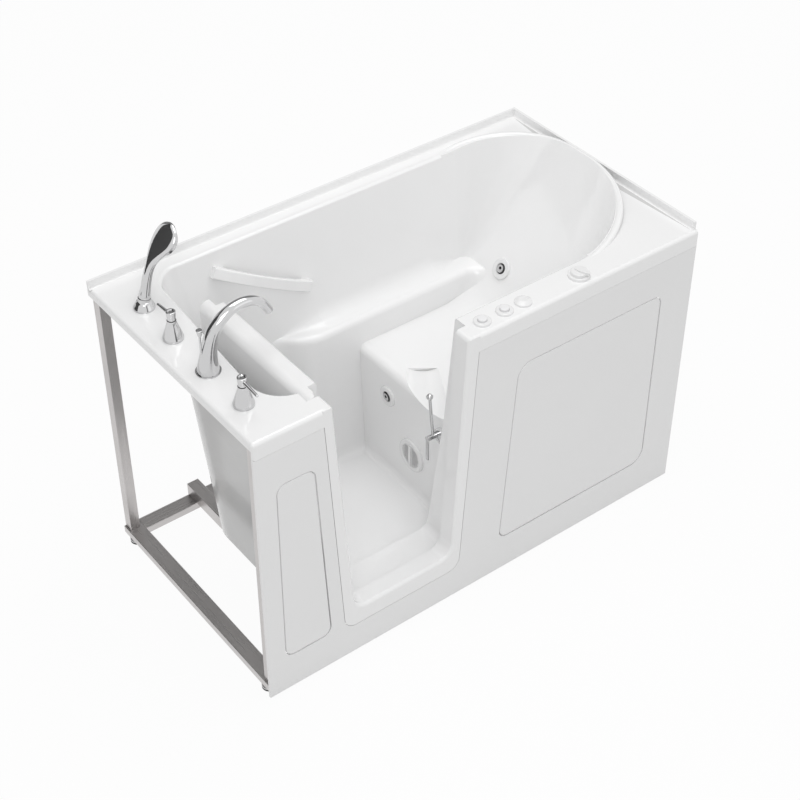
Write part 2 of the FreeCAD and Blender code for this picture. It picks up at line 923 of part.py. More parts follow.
def skirt_panels():
    left = (
        (panel_left_low_x, panel_low_z, panel_r), (panel_left_right_low_x, panel_low_z, panel_r),
        (panel_left_right_top_x, panel_top_z, panel_r), (panel_left_top_x, panel_top_z, panel_r),
    )
    right = (
        (panel_right_low_x, panel_low_z, panel_r), (panel_right_end_x, panel_low_z, panel_big_r),
        (panel_right_end_x, panel_top_z, panel_r), (panel_right_top_x, panel_top_z, panel_big_r),
    )
    return left, right


def front_skirt():
    sheet = block(0, tub_length, 0, skirt_thick, skirt_low_z, front_lip_z - touch)
    tools = [prism(seam(deck_z), "front", -overrun, overrun, seam_gap)]
    for panel in skirt_panels():
        tools.append(prism(panel, "front", -overrun, overrun, panel_gap))
    return sheet.cut(tools)


def access_panel(panel):
    body = prism(panel, "front", panel_edge_r, skirt_thick)
    face = loft([
        outline(panel, "front", 0, -panel_edge_r),
        outline(panel, "front", panel_edge_r / 2, -panel_edge_r / 4),
        outline(panel, "front", panel_edge_r, 0),
    ])
    return joined([body, face])


def panel_catches():
    shapes = []
    middle = catch_width / 2
    for panel in skirt_panels():
        low_x = (panel[0][0] + panel[1][0]) / 2
        top_x = (panel[2][0] + panel[3][0]) / 2
        for x, z in ((low_x, panel_low_z), (top_x, panel_top_z)):
            shapes.append(block(x - middle, x + middle, skirt_thick, skirt_thick + catch_thick,
                                z - catch_height / 2, z + catch_height / 2))
    return Part.makeCompound(shapes)


# Door, drawn shut
door_out_y = hinge_y - door_half
door_in_y = hinge_y + door_half
door_low_z = rabbet_low_z + door_low_play


def swung(shape):
    turned_shape = shape.copy()
    turned_shape.rotate(at(hinge_x, hinge_y, 0), up, door_open_deg)
    return turned_shape


def hinge_spans():
    return [(z, z + hinge_length) for z in (hinge_low_z, hinge_high_z)]


def flange_right_x(z):
    return slant(rabbet_right_top_x, rabbet_right_low_x, deck_z, rabbet_low_z, z) - door_play


def door_panel():
    corners = (
        (hinge_x, deck_z, 0), (hinge_x, door_low_z, 0),
        (flange_right_x(door_low_z), door_low_z, rabbet_corner_r), (flange_right_x(deck_z), deck_z, 0),
    )
    flange = prism(corners, "front", door_out_y, door_in_y)
    end = rod(hinge_x, hinge_y, door_low_z, deck_z, door_half)
    plug = prism(opening(deck_z + plug_play), "front", door_out_y - door_plug, door_out_y + touch, -plug_play)
    body = joined([flange, plug])
    front_y = at(0, door_out_y - door_plug, 0).y
    back_y = at(0, door_in_y, 0).y
    tops = edges_near(body, lambda p: abs(p.z - deck_z) < hair and abs(p.y - front_y) < hair)
    tops += edges_near(body, lambda p: abs(p.z - deck_z) < hair and abs(p.y - back_y) < hair)
    body = joined([body.makeFillet(door_top_r, tops), end.makeFillet(door_top_r, [end.Edges[0]])])
    tools = []
    for low, high in hinge_spans():
        tools.append(rod(hinge_x, hinge_y, low, high, hinge_slot_r))
        tools.append(rod(hinge_x, hinge_y, low - hinge_pin_lead - touch, high + hinge_pin_lead + touch,
                         hinge_pin_r + fit_play))
    return swung(body.cut(tools))


def door_seal():
    outer = prism(opening(deck_z - seal_width), "front", door_out_y - seal_thick, door_out_y, seal_inner + seal_width)
    inner = prism(opening(deck_z + overrun), "front", door_out_y - overrun, door_out_y + overrun, seal_inner)
    keep = block(0, tub_length, 0, tub_width, 0, deck_z - door_top_r)
    return swung(outer.cut(inner).common(keep))


def hinge_brackets():
    shapes = []
    for low, high in hinge_spans():
        low_z = low + body_gap
        high_z = high - body_gap
        knuckle = rod(hinge_x, hinge_y, low_z, high_z, hinge_knuckle_r)
        leaf = block(rabbet_left_x, hinge_x, hinge_y - hinge_leaf_half, hinge_y + hinge_leaf_half, low_z, high_z)
        hole = rod(hinge_x, hinge_y, low - overrun, high + overrun, hinge_pin_r)
        shapes.append(joined([knuckle, leaf]).cut(hole))
    return Part.makeCompound(shapes)


def hinge_pins():
    pins = []
    for low, high in hinge_spans():
        pins.append(rod(hinge_x, hinge_y, low - hinge_pin_lead, high + hinge_pin_lead, hinge_pin_r))
    return Part.makeCompound(pins)


latch_end_x = latch_bracket_x + latch_bracket_width


def latch_bracket():
    low_z = latch_z - latch_bracket_foot
    high_z = latch_z + latch_bracket_foot
    tip_y = latch_y + latch_bracket_reach
    body = prism((
        (front_wall_y(low_z), low_z, 0),
        (tip_y, latch_z - latch_bracket_half, latch_bracket_r),
        (tip_y, latch_z + latch_bracket_half, latch_bracket_r),
        (front_wall_y(high_z), high_z, 0),
    ), "end", latch_bracket_x, latch_end_x)
    return body.cut(cross_rod(latch_bracket_x - overrun, latch_end_x + overrun, latch_y, latch_z, latch_axle_r))


def latch_axle():
    head_x = latch_end_x + latch_head_thick
    pin = cross_rod(latch_hub_left_x, head_x, latch_y, latch_z, latch_axle_r)
    return joined([pin, cross_rod(latch_end_x, head_x, latch_y, latch_z, latch_head_r)])


def latch_lever():
    hub = cross_rod(latch_hub_left_x, latch_bracket_x - body_gap, latch_y, latch_z, latch_hub_r)
    foot = at(latch_rod_x, latch_y, latch_z)
    ball_at = at(latch_rod_x - latch_rod_lean, latch_y + latch_rod_back, latch_z + latch_rod_rise)
    stem = Part.makeCylinder(latch_rod_r, (ball_at - foot).Length, foot, ball_at - foot)
    ball = Part.makeSphere(latch_ball_r, ball_at)
    tip_z = latch_z - (latch_y - door_in_y - strike_thick - strike_gap)
    arm = block(latch_hub_left_x, latch_hub_left_x + latch_finger_thick, latch_y - latch_finger_half,
                latch_y + latch_finger_half, tip_z, latch_z)
    hole = cross_rod(latch_hub_left_x - overrun, latch_end_x, latch_y, latch_z, latch_axle_r + fit_play)
    return joined([hub, stem, ball, arm]).cut(hole)


def latch_strike():
    right_x = flange_right_x(latch_z - strike_height / 2) - strike_inset
    return swung(block(right_x - strike_width, right_x, door_in_y, door_in_y + strike_thick,
                       latch_z - strike_height / 2, latch_z + strike_height / 2))


# Frame
rail_top_z = rail_low_z + rail_high
rail_right_x = tub_length - rail_left_x
side_low_y = lip_thick
side_high_y = tub_width - lip_thick


def hollow(x0, x1, y0, y1, z0, z1, along):
    # Square tube, open at both ends of the axis it runs along
    low = [x0, y0, z0]
    high = [x1, y1, z1]
    for i in range(3):
        low[i] += -overrun if i == along else tube_wall
        high[i] -= -overrun if i == along else tube_wall
    return block(x0, x1, y0, y1, z0, z1).cut(block(low[0], high[0], low[1], high[1], low[2], high[2]))


def foot_places():
    left = rail_left_x + rail_width / 2
    right = tub_length - left
    places = [(x, y) for x in (left, right) for y in (foot_y, foot_back_y)]
    middle = side_low_y + rail_width / 2
    return places + [(foot_middle_x, middle), (foot_middle_x, tub_width - middle)]


def drilled(tube):
    holes = [rod(x, y, rail_low_z - overrun, rail_low_z + rail_high / 2, foot_stem_r + hole_play)
             for x, y in foot_places()]
    return tube.cut(holes)


def frame_nodes():
    inner_left = rail_left_x + rail_width
    inner_right = tub_length - inner_left
    front_in = side_low_y + rail_width
    back_in = side_high_y - rail_width
    made = {
        "base_rail_left": drilled(hollow(rail_left_x, inner_left, side_low_y, side_high_y, rail_low_z, rail_top_z, 1)),
        "base_rail_right": drilled(hollow(inner_right, rail_right_x, side_low_y, side_high_y,
                                          rail_low_z, rail_top_z, 1)),
        "base_rail_front": drilled(hollow(inner_left, inner_right, side_low_y, front_in, rail_low_z, rail_top_z, 0)),
        "base_rail_back": drilled(hollow(inner_left, inner_right, back_in, side_high_y, rail_low_z, rail_top_z, 0)),
    }
    for side, x in (("left", lip_thick), ("right", tub_length - lip_thick - post_side)):
        for end, y in (("front", side_low_y), ("back", side_high_y - post_side)):
            made["post_" + end + "_" + side] = hollow(x, x + post_side, y, y + post_side,
                                                      rail_top_z, deck_z - deck_thick, 2)
    floor_low_z = floor_z - wall
    bearers = [hollow(x, x + bearer_width, side_low_y, side_high_y, rail_top_z, floor_low_z, 1)
               for x in (bearer_left_x, bearer_right_x)]
    made["floor_bearers"] = Part.makeCompound(bearers)
    made["pump_tray"] = block(tray_left_x, tray_right_x, side_low_y, side_high_y, rail_top_z, rail_top_z + tray_thick)
    return made


def foot_nodes():
    discs, rubbers, nuts = [], [], []
    disc_top = foot_rubber_thick + foot_disc_thick
    for x, y in foot_places():
        disc = rod(x, y, foot_rubber_thick, disc_top, foot_disc_r)
        stem = rod(x, y, foot_rubber_thick, rail_low_z + rail_high / 2, foot_stem_r)
        discs.append(joined([disc, stem]))
        rubbers.append(rod(x, y, 0, foot_rubber_thick, foot_disc_r))
        nut = hexagon(x, y, rail_low_z - foot_nut_thick, rail_low_z, foot_nut_half)
        nuts.append(nut.cut(rod(x, y, 0, rail_low_z + overrun, foot_stem_r)))
    return {
        "foot_stems": Part.makeCompound(discs),
        "foot_rubbers": Part.makeCompound(rubbers),
        "foot_nuts": Part.makeCompound(nuts),
    }


# Faucet set
def valve_bodies():
    low_z = deck_z - shank_drop
    bodies = [rod(x, y, low_z, deck_z, shank_r) for x, y in shank_places()]
    for i in (0, 2):
        x, y = shank_places()[i]
        bodies[i] = joined([bodies[i], rod(x, y, low_z - supply_length, low_z, supply_r)])
    return Part.makeCompound(bodies)


def faucet_nuts():
    nuts = []
    top = deck_z - deck_thick
    for x, y in shank_places():
        nut = hexagon(x, y, top - shank_nut_thick, top, shank_nut_half)
        nuts.append(nut.cut(rod(x, y, top - overrun, top + overrun, shank_r)))
    return Part.makeCompound(nuts)


def handle_base(y):
    body = turned((
        (0, 0, 0), (base_r, 0, 0), (base_r, base_foot, base_edge_r), (base_waist_r, base_rise, base_curve_r),
        (base_waist_r, base_rise + base_collar, 0), (0, base_rise + base_collar, 0),
    ))
    pin = rod_local(lever_pin_r, base_rise, base_rise + base_collar + lever_pin_rise)
    return placed(joined([body, pin]), at(faucet_x, y, deck_z), up)


def handle_lever(y, towards):
    low = base_rise + base_collar + body_gap
    high = base_rise + hub_rise
    hub = turned((
        (0, low, 0), (hub_waist_r, low, 0), (hub_r, high, hub_edge_r), (hub_dish_r, high, 0),
        (hub_dish_r - hub_dish, high - hub_dish, 0), (0, high - hub_dish, 0),
    ))
    level = mix(low, high, lever_z_share)
    arm = Part.makeCone(lever_root_r, lever_tip_r, lever_reach - lever_tip_r, V(0, 0, level),
                        V(0, towards, -lever_drop / lever_reach))
    tip = Part.makeSphere(lever_tip_r, V(0, 0, level) + V(0, towards, -lever_drop / lever_reach).normalize()
                          * (lever_reach - lever_tip_r))
    hole = rod_local(lever_pin_r + fit_play, low - overrun, low + lever_pin_rise)
    return placed(joined([hub, arm, tip]).cut(hole), at(faucet_x, y, deck_z), up)


def spout_section(share):
    across, rise, radius, lean = share
    tilt = math.radians(lean)
    centre = at(faucet_x + spout_reach * across, spout_y, deck_z + spout_rise * rise)
    return centre, V(math.sin(tilt), 0, math.cos(tilt)), spout_root_r * radius


def spout():
    wires = []
    for share in spout_shares:
        centre, along, radius = spout_section(share)
        wires.append(Part.Wire(Part.makeCircle(radius, centre, along)))
    body = loft(wires, False)
    plate = rod(faucet_x, spout_y, deck_z, deck_z + spout_plate, spout_root_r + spout_plate)
    centre, along, radius = spout_section(spout_shares[-1])
    mouth = Part.makeCylinder(aerator_r, aerator_length, centre - along * aerator_length, along)
    stem = rod(diverter_x, spout_y, diverter_low_z - touch, deck_z + spout_rise, diverter_stem_r + fit_play)
    return joined([body, plate]).cut([mouth, stem])


def spout_aerator():
    centre, along, radius = spout_section(spout_shares[-1])
    ring = Part.makeCylinder(aerator_r, aerator_length, centre - along * aerator_length, along)
    return ring.cut(Part.makeCylinder(aerator_r * aerator_bore_share, aerator_length, centre - along * touch * 2, along))


def diverter_knob():
    stem = rod_local(diverter_stem_r, diverter_low_z, diverter_stem_z + touch)
    top = diverter_stem_z + diverter_knob_rise
    knob = turned((
        (0, diverter_stem_z, 0), (diverter_neck_r, diverter_stem_z, 0),
        (diverter_knob_r, top, diverter_edge_r), (0, top, 0),
    ))
    return placed(joined([stem, knob]), at(diverter_x, spout_y, 0), up)


handset_way = V(math.sin(math.radians(handset_lean_deg)), 0, math.cos(math.radians(handset_lean_deg)))


def handset_foot():
    return at(holder_x, holder_y, deck_z + cup_rise) - handset_way * cup_drop


def shower_holder():
    foot = turned((
        (0, 0, 0), (holder_base_r, 0, 0), (holder_base_r, holder_base_rise, base_edge_r),
        (holder_top_r, holder_rise, holder_dome_r), (0, holder_rise, 0),
    ))
    foot = placed(foot, at(holder_x, holder_y, deck_z), up)
    cup = placed(rod_local(cup_r, -cup_floor, cup_length), handset_foot(), handset_way)
    hole = placed(rod_local(handset_peg_r + fit_play, 0, cup_length + overrun), handset_foot(), handset_way)
    return joined([foot, cup]).cut(hole)


def hand_shower():
    wires = []
    low = cup_length + body_gap
    for along, broad, deep, shift in handset_shares:
        centre = V(head_r * shift, 0, low + handset_length * along)
        side = centre + V(0, head_r * broad + hair, 0)
        oval = Part.Ellipse(side, centre + V(head_r * deep, 0, 0), centre)
        wires.append(Part.Wire(oval.toShape()))
    body = loft(wires, False)
    peg = rod_local(handset_peg_r, body_gap, low + touch)
    face = turned((
        (0, head_face_in, 0), (head_face_r, head_face_in, 0), (head_face_r, head_face_out, head_face_edge_r),
        (head_face_dish_r, head_face_out, 0), (head_face_dish_r, head_face_out - head_face_dish, 0),
        (0, head_face_out - head_face_dish, 0),
    ))
    tilt = math.radians(head_tilt_deg)
    centre = V(head_r * head_shift_share, 0, low + handset_length * head_centre_share)
    face = placed(face, centre, V(math.cos(tilt), 0, -math.sin(tilt)))
    return placed(joined([body, peg, face]), handset_foot(), handset_way)


def grab_bar():
    left, right, along, out, side = grab_frame()
    span = (right - left).Length
    half = grab_high / 2
    base = left - side * half

    def spot(u, n):
        return base + along * u + out * n

    outer = Part.Arc(spot(0, grab_end), spot(span / 2, grab_stand), spot(span, grab_end)).toShape()
    inner = Part.Arc(spot(span - grab_pad, grab_foot), spot(span / 2, grab_stand - grab_thick),
                     spot(grab_pad, grab_foot)).toShape()
    right_foot = [spot(span, grab_end), spot(span, 0), spot(span - grab_pad, 0), spot(span - grab_pad, grab_foot)]
    left_foot = [spot(grab_pad, grab_foot), spot(grab_pad, 0), spot(0, 0), spot(0, grab_end)]
    wire = Part.Wire([outer] + Part.makePolygon(right_foot).Edges + [inner] + Part.makePolygon(left_foot).Edges)
    bar = righted(Part.Face(wire).extrude(side * grab_high))
    rims = []
    for edge in bar.Edges:
        if edge.Curve.TypeId == "Part::GeomCircle" and abs(edge.Curve.Radius - outer.Curve.Radius) < hair:
            rims.append(edge)
    bar = bar.makeFillet(grab_edge_r, rims)
    studs = []
    for centre in (left + along * grab_pad / 2, right - along * grab_pad / 2):
        studs.append(placed(rod_local(grab_stud_r, -grab_stud, touch), centre, out))
    return joined([bar] + studs)


def grab_bar_nuts():
    left, right, along, out, side = grab_frame()
    nuts = []
    for centre in (left + along * grab_pad / 2, right - along * grab_pad / 2):
        ring = rod_local(grab_nut_half, -grab_back - grab_nut_thick, -grab_back)
        ring = ring.cut(rod_local(grab_stud_r, -overrun, overrun))
        nuts.append(placed(ring, centre, out))
    return Part.makeCompound(nuts)


# Jets, suction and drain
def jet_ring():
    return turned((
        (jet_seat_r, 0, 0), (jet_ring_r, 0, 0), (jet_ring_r, jet_ring_thick, jet_ring_edge_r),
        (jet_seat_r, jet_ring_thick, jet_ring_lip_r),
    ))


def jet_body():
    low = -jet_body_length
    shell = turned((
        (jet_seat_r, low + jet_pipe_wall, 0),
        (jet_nipple_r - jet_pipe_wall, low + jet_pipe_wall, 0), (jet_nipple_r - jet_pipe_wall, low - jet_nipple, 0),
        (jet_nipple_r, low - jet_nipple, 0), (jet_nipple_r, low, 0), (jet_bore_r, low, 0),
        (jet_bore_r, -jet_wall_skip - jet_nut_thick, 0), (jet_nut_r, -jet_wall_skip - jet_nut_thick, 0),
        (jet_nut_r, -jet_wall_skip, 0), (jet_bore_r, -jet_wall_skip, 0), (jet_bore_r, 0, 0),
        (jet_seat_r, 0, 0),
    ))
    return shell


def jet_nozzle():
    collar_r = jet_seat_r - fit_play
    top = jet_ring_thick + jet_nozzle_proud
    plug = turned((
        (0, -jet_nozzle_deep, 0), (collar_r, -jet_nozzle_deep, 0), (collar_r, jet_ring_edge_r, 0),
        (jet_nozzle_r, top, jet_ring_lip_r), (0, top, 0),
    ))
    hole = Part.makeCylinder(jet_hole_r, jet_nozzle_deep * 3, V(jet_hole_off, 0, -jet_nozzle_deep * 3 / 2))
    return plug.cut(hole)


def suction_cover():
    body = turned((
        (0, 0, 0), (suction_r, 0, 0), (suction_r, suction_thick, suction_edge_r),
        (suction_face_r, suction_thick, 0), (suction_face_r - suction_dish, suction_thick - suction_dish, 0),
        (0, suction_thick - suction_dish, 0),
    ))
    slots = []
    for i in range(suction_slot_first, suction_slot_last + 1):
        for y in (-i * suction_slot_pitch, i * suction_slot_pitch):
            half = suction_slot_length / 2 * math.sqrt(1 - (y / suction_face_r) ** 2)
            slots.append(Part.makeBox(half * 2, suction_slot_half * 2, suction_thick * 2,
                                      V(-half, y - suction_slot_half, -touch)))
    bar = Part.makeBox(suction_bar_length, suction_bar_half * 2, suction_bar_rise,
                       V(-suction_bar_length / 2, -suction_bar_half, suction_thick - suction_dish - touch))
    return joined([body.cut(slots), bar])


def suction_body():
    tube_in = suction_bore_r - pipe_wall
    shell = turned((
        (tube_in, 0, 0), (tube_in, -suction_deep, 0), (suction_pipe_r - pipe_wall, -suction_deep, 0),
        (suction_pipe_r - pipe_wall, -suction_deep - suction_nipple, 0),
        (suction_pipe_r, -suction_deep - suction_nipple, 0), (suction_pipe_r, -suction_deep - pipe_wall, 0),
        (suction_bore_r, -suction_deep - pipe_wall, 0), (suction_bore_r, -jet_wall_skip - jet_nut_thick, 0),
        (suction_nut_r, -jet_wall_skip - jet_nut_thick, 0), (suction_nut_r, -jet_wall_skip, 0),
        (suction_bore_r, -jet_wall_skip, 0), (suction_bore_r, 0, 0),
    )[::-1])
    return shell


def drain_body():
    body = turned((
        (drain_pipe_r, 0, 0), (drain_flange_r, 0, 0), (drain_flange_r, drain_flange, drain_lip_r),
        (drain_pipe_r, drain_flange, 0),
    ))
    tube = rod_local(drain_bore_r, -drain_drop, touch).cut(rod_local(drain_pipe_r, -drain_drop - touch, overrun))
    tail = rod_local(drain_tail_r, -drain_drop - drain_tail, -drain_drop)
    tail = joined([tail, rod_local(drain_bore_r, -drain_drop, pipe_wall - drain_drop)])
    tail = tail.cut(rod_local(drain_tail_r - pipe_wall, -drain_drop - drain_tail - touch, overrun))
    cross = Part.makeBox(drain_pipe_r * 2 + pipe_wall, drain_cross_half * 2, drain_cross_rise,
                         V(-drain_pipe_r - pipe_wall / 2, -drain_cross_half, -drain_cross_drop))
    boss = rod_local(drain_stem_r + pipe_wall, -drain_cross_drop, drain_cross_rise - drain_cross_drop)
    guide = rod_local(drain_stem_r + fit_play, -drain_drop, overrun)
    return placed(joined([body, tube, tail, cross, boss]).cut(guide), at(drain_x, drain_y, floor_z), up)


def drain_stopper():
    low = drain_flange + body_gap
    cap = turned((
        (0, low, 0), (stopper_r, low, 0), (stopper_r, low + stopper_edge, stopper_edge_r),
        (stopper_knob_r, low + stopper_rise, stopper_curve_r), (0, low + stopper_rise, 0),
    ))
    stem = rod_local(drain_stem_r, low - stopper_stem, low + touch)
    return placed(joined([cap, stem]), at(drain_x, drain_y, floor_z), up)


# Deck controls
def button_bezel():
    ring = turned((
        (cap_r + body_gap, 0, 0), (bezel_r, 0, 0), (bezel_r, bezel_rise, bezel_edge_r),
        (cap_r + body_gap, bezel_rise, bezel_lip_r),
    ))
    tube_in = cap_r + body_gap
    tube = rod_local(bezel_tube_r, -bezel_tube_drop, touch)
    tube = tube.cut(rod_local(tube_in, -bezel_tube_drop + pipe_wall, overrun))
    post = rod_local(cap_post_r, -bezel_tube_drop, -cap_skirt)
    return joined([ring, tube, post])


def button_cap():
    body = turned((
        (0, -cap_skirt / 2, 0), (cap_r, -cap_skirt / 2, 0), (cap_r, cap_rise, cap_edge_r), (0, cap_rise, 0),
    ))
    return body


def blank_cap():
    dome = turned((
        (0, 0, 0), (bezel_r, 0, 0), (bezel_r, blank_foot, blank_foot_r), (blank_top_r, blank_rise, blank_curve_r),
        (0, blank_rise, 0),
    ))
    return joined([dome, rod_local(bezel_tube_r, -bezel_tube_drop, touch)])


def dial_base():
    plate = turned((
        (0, 0, 0), (dial_base_r, 0, 0), (dial_base_r, dial_base_rise, dial_edge_r), (0, dial_base_rise, 0),
    ))
    pin = rod_local(dial_pin_r, dial_base_rise - touch, dial_base_rise + dial_pin_rise)
    return joined([plate, pin])


def dial_knob():
    low = dial_base_rise + body_gap
    high = low + dial_rise
    disc = turned(((0, low, 0), (dial_r, low, 0), (dial_r, high, dial_edge_r), (0, high, 0)))
    leaf = [(x * dial_wing_length, y * dial_wing_half, r * dial_wing_half) for x, y, r in dial_wing_shares]
    wing = prism_local(leaf, high - dial_rise / 2, high + dial_wing_rise)
    wing.rotate(V(), up, dial_wing_deg)
    hole = rod_local(dial_pin_r + fit_play, low - overrun, dial_base_rise + dial_pin_rise + body_gap)
    return joined([disc, wing]).cut(hole)


def prism_local(corners, low, high):
    shape = prism(corners, "plan", low, high)
    shape.translate(-at(0, 0, 0))
    return shape


def air_valve():
    return placed(rod_local(air_tube_r, -air_tube_drop, 0), at(dial_x, control_y, deck_z), up)


def on_deck(shape, x):
    return placed(shape, at(x, control_y, deck_z), up)


# Pump and pipes under the seat
def pump_motor():
    start = at(pump_x + volute_depth, pump_y, pump_z)
    barrel = Part.makeCylinder(motor_r, motor_length, start, axes["end"])
    cap = Part.makeCylinder(motor_cap_r, motor_cap, start + axes["end"] * motor_length, axes["end"])
    fins = []
    for i in range(motor_fins):
        fin = Part.makeBox(motor_length - motor_cap, motor_fin_half * 2, motor_r + motor_fin_rise,
                           start + V(motor_cap / 2, -motor_fin_half, 0))
        fin.rotate(start, axes["end"], 360 * i / motor_fins)
        fins.append(fin)
    feet = []
    tray_z = rail_top_z + tray_thick
    for x in (pump_x + volute_depth + motor_cap, pump_x + volute_depth + motor_length - motor_cap - motor_foot):
        feet.append(block(x, x + motor_foot, pump_y - motor_foot_half, pump_y + motor_foot_half, tray_z, pump_z))
    return joined([barrel, cap] + fins + feet)


def pump_wet_end():
    start = at(pump_x, pump_y, pump_z)
    volute = Part.makeCylinder(volute_r, volute_depth, start, axes["end"])
    snout = Part.makeCylinder(volute_snout_r, volute_snout + touch, start - axes["end"] * volute_snout, axes["end"])
    bore = Part.makeCylinder(volute_snout_r - pipe_wall, volute_snout + volute_depth / 2,
                             start - axes["end"] * volute_snout, axes["end"])
    outlet = rod(pump_x + volute_depth / 2, outlet_y, pump_z, pump_z + outlet_rise, outlet_r)
    outlet_bore = rod(pump_x + volute_depth / 2, outlet_y, pump_z, pump_z + outlet_rise + overrun, outlet_r - pipe_wall)
    return joined([volute, snout, outlet]).cut([bore, outlet_bore])


def pipes(paths, radius):
    outer = joined([pipe(path, pipe_bend_r, radius) for path in paths])
    return outer.cut([pipe(path, pipe_bend_r, radius - pipe_wall) for path in paths])


def suction_pipe():
    start = at(riser_x + suction_deep + suction_nipple, suction_y, suction_z)
    end = at(pump_x - volute_snout, pump_y, pump_z)
    turn_x = (start.x + end.x) / 2
    path = [start, V(turn_x, start.y, start.z), V(turn_x, end.y, end.z), end]
    return pipes_straight(path, suction_pipe_r)


def pipes_straight(path, radius):
    bend = suction_bend_r
    return pipe(path, bend, radius).cut(pipe(path, bend, radius - pipe_wall))


def pressure_pipe():
    places = jet_places()
    stub = jet_body_length + jet_nipple
    riser_end_x = at(riser_x + stub, 0, 0).x
    main = pump_x + volute_depth / 2
    foot = at(main, outlet_y, pump_z + outlet_rise)
    cross = at(main, outlet_y, riser_jet_z)
    far = at(main, riser_jet_y, riser_jet_z)
    paths = [[V(riser_end_x, far.y, far.z), far, cross]]
    backs = {}
    for name in ("back_far", "back_near"):
        base, face = places[name]
        end = base - face * stub
        backs[name] = (end, V(end.x, end.y, end.z) - face * pipe_back)
    far_end, far_turn = backs["back_far"]
    near_end, near_turn = backs["back_near"]
    paths.append([far_end, far_turn, near_turn, near_end])
    middle = V(far_turn.x, cross.y, far_turn.z)
    paths.append([foot, cross, V(far_turn.x, cross.y, cross.z), middle])
    return pipes(paths, pipe_r)


nodes = {}
nodes["tub_shell"] = tub_shell()
nodes["front_skirt"] = front_skirt()
nodes["access_panel_left"] = access_panel(skirt_panels()[0])
nodes["access_panel_right"] = access_panel(skirt_panels()[1])
nodes["panel_catches"] = panel_catches()
nodes["door_panel"] = door_panel()
nodes["door_seal"] = door_seal()
nodes["hinge_brackets"] = hinge_brackets()
nodes["hinge_pins"] = hinge_pins()
nodes["latch_bracket"] = latch_bracket()
nodes["latch_axle"] = latch_axle()
nodes["latch_lever"] = latch_lever()
nodes["latch_strike"] = latch_strike()
nodes.update(frame_nodes())
nodes.update(foot_nodes())
nodes["valve_bodies"] = valve_bodies()
nodes["faucet_nuts"] = faucet_nuts()
nodes["handle_base_front"] = handle_base(handle_front_y)
nodes["handle_base_back"] = handle_base(handle_back_y)
nodes["handle_lever_front"] = handle_lever(handle_front_y, -1)
nodes["handle_lever_back"] = handle_lever(handle_back_y, 1)
nodes["spout"] = spout()
nodes["spout_aerator"] = spout_aerator()
nodes["diverter_knob"] = diverter_knob()
nodes["shower_holder"] = shower_holder()
nodes["hand_shower"] = hand_shower()
nodes["grab_bar"] = grab_bar()
nodes["grab_bar_nuts"] = grab_bar_nuts()
jets = jet_places()
nodes["jet_rings"] = Part.makeCompound([placed(jet_ring(), base, face) for base, face in jets.values()])
nodes["jet_bodies"] = Part.makeCompound([placed(jet_body(), base, face) for base, face in jets.values()])
for name, place in jets.items():
    nodes["jet_nozzle_" + name] = placed(jet_nozzle(), place[0], place[1])
suction_place = at(riser_x, suction_y, suction_z)
nodes["suction_cover"] = placed(suction_cover(), suction_place, -axes["end"])
nodes["suction_body"] = placed(suction_body(), suction_place, -axes["end"])
nodes["drain_body"] = drain_body()
nodes["drain_stopper"] = drain_stopper()
nodes["button_bezels"] = Part.makeCompound([on_deck(button_bezel(), x) for x in (button_near_x, button_far_x)])
nodes["button_cap_near"] = on_deck(button_cap(), button_near_x)
nodes["button_cap_far"] = on_deck(button_cap(), button_far_x)
nodes["blank_cap"] = on_deck(blank_cap(), blank_x)
nodes["dial_base"] = on_deck(dial_base(), dial_x)
nodes["dial_knob"] = on_deck(dial_knob(), dial_x)
nodes["air_valve"] = air_valve()
nodes["pump_motor"] = pump_motor()
nodes["pump_wet_end"] = pump_wet_end()
nodes["suction_pipe"] = suction_pipe()
nodes["pressure_pipe"] = pressure_pipe()

os.makedirs("parts", exist_ok=True)
for name, shape in nodes.items():
    shape.exportStep("parts/" + name + ".step")
    print(name, len(shape.Solids), shape.isValid(), round(shape.Volume))
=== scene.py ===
import json
import math

import bmesh
import bpy
from mathutils import Matrix, Vector
from mathutils.bvhtree import BVHTree


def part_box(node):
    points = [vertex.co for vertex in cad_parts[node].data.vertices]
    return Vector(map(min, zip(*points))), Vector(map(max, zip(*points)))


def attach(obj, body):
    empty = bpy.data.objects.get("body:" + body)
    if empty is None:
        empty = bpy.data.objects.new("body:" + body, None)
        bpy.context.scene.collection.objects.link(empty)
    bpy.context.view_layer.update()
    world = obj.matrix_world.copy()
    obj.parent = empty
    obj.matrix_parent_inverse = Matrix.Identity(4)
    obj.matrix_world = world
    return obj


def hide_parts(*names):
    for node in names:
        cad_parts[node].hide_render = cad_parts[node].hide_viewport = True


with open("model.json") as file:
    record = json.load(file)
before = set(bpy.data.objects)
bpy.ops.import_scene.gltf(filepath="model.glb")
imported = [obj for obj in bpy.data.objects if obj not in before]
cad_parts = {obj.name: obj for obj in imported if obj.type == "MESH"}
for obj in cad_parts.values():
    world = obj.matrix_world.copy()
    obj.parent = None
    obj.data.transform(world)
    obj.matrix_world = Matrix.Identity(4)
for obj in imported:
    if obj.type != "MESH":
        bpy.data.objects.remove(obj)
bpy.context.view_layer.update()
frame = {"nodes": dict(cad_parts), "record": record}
scene = bpy.context.scene
scene.view_settings.view_transform = "Standard"
behaviour = frame["record"]["behaviour"]
bodyOf = {name: body for body, names in behaviour["bodies"].items() for name in names}
print("frame loaded:", len(frame["nodes"]), "nodes")


def turnTo(holder, place, aim, axis="-Z"):
    # puts the holder at its place and turns one of its axes to the aim
    holder.location = place
    look = Vector(aim) - Vector(place)
    holder.rotation_euler = look.to_track_quat(axis, "Y").to_euler()


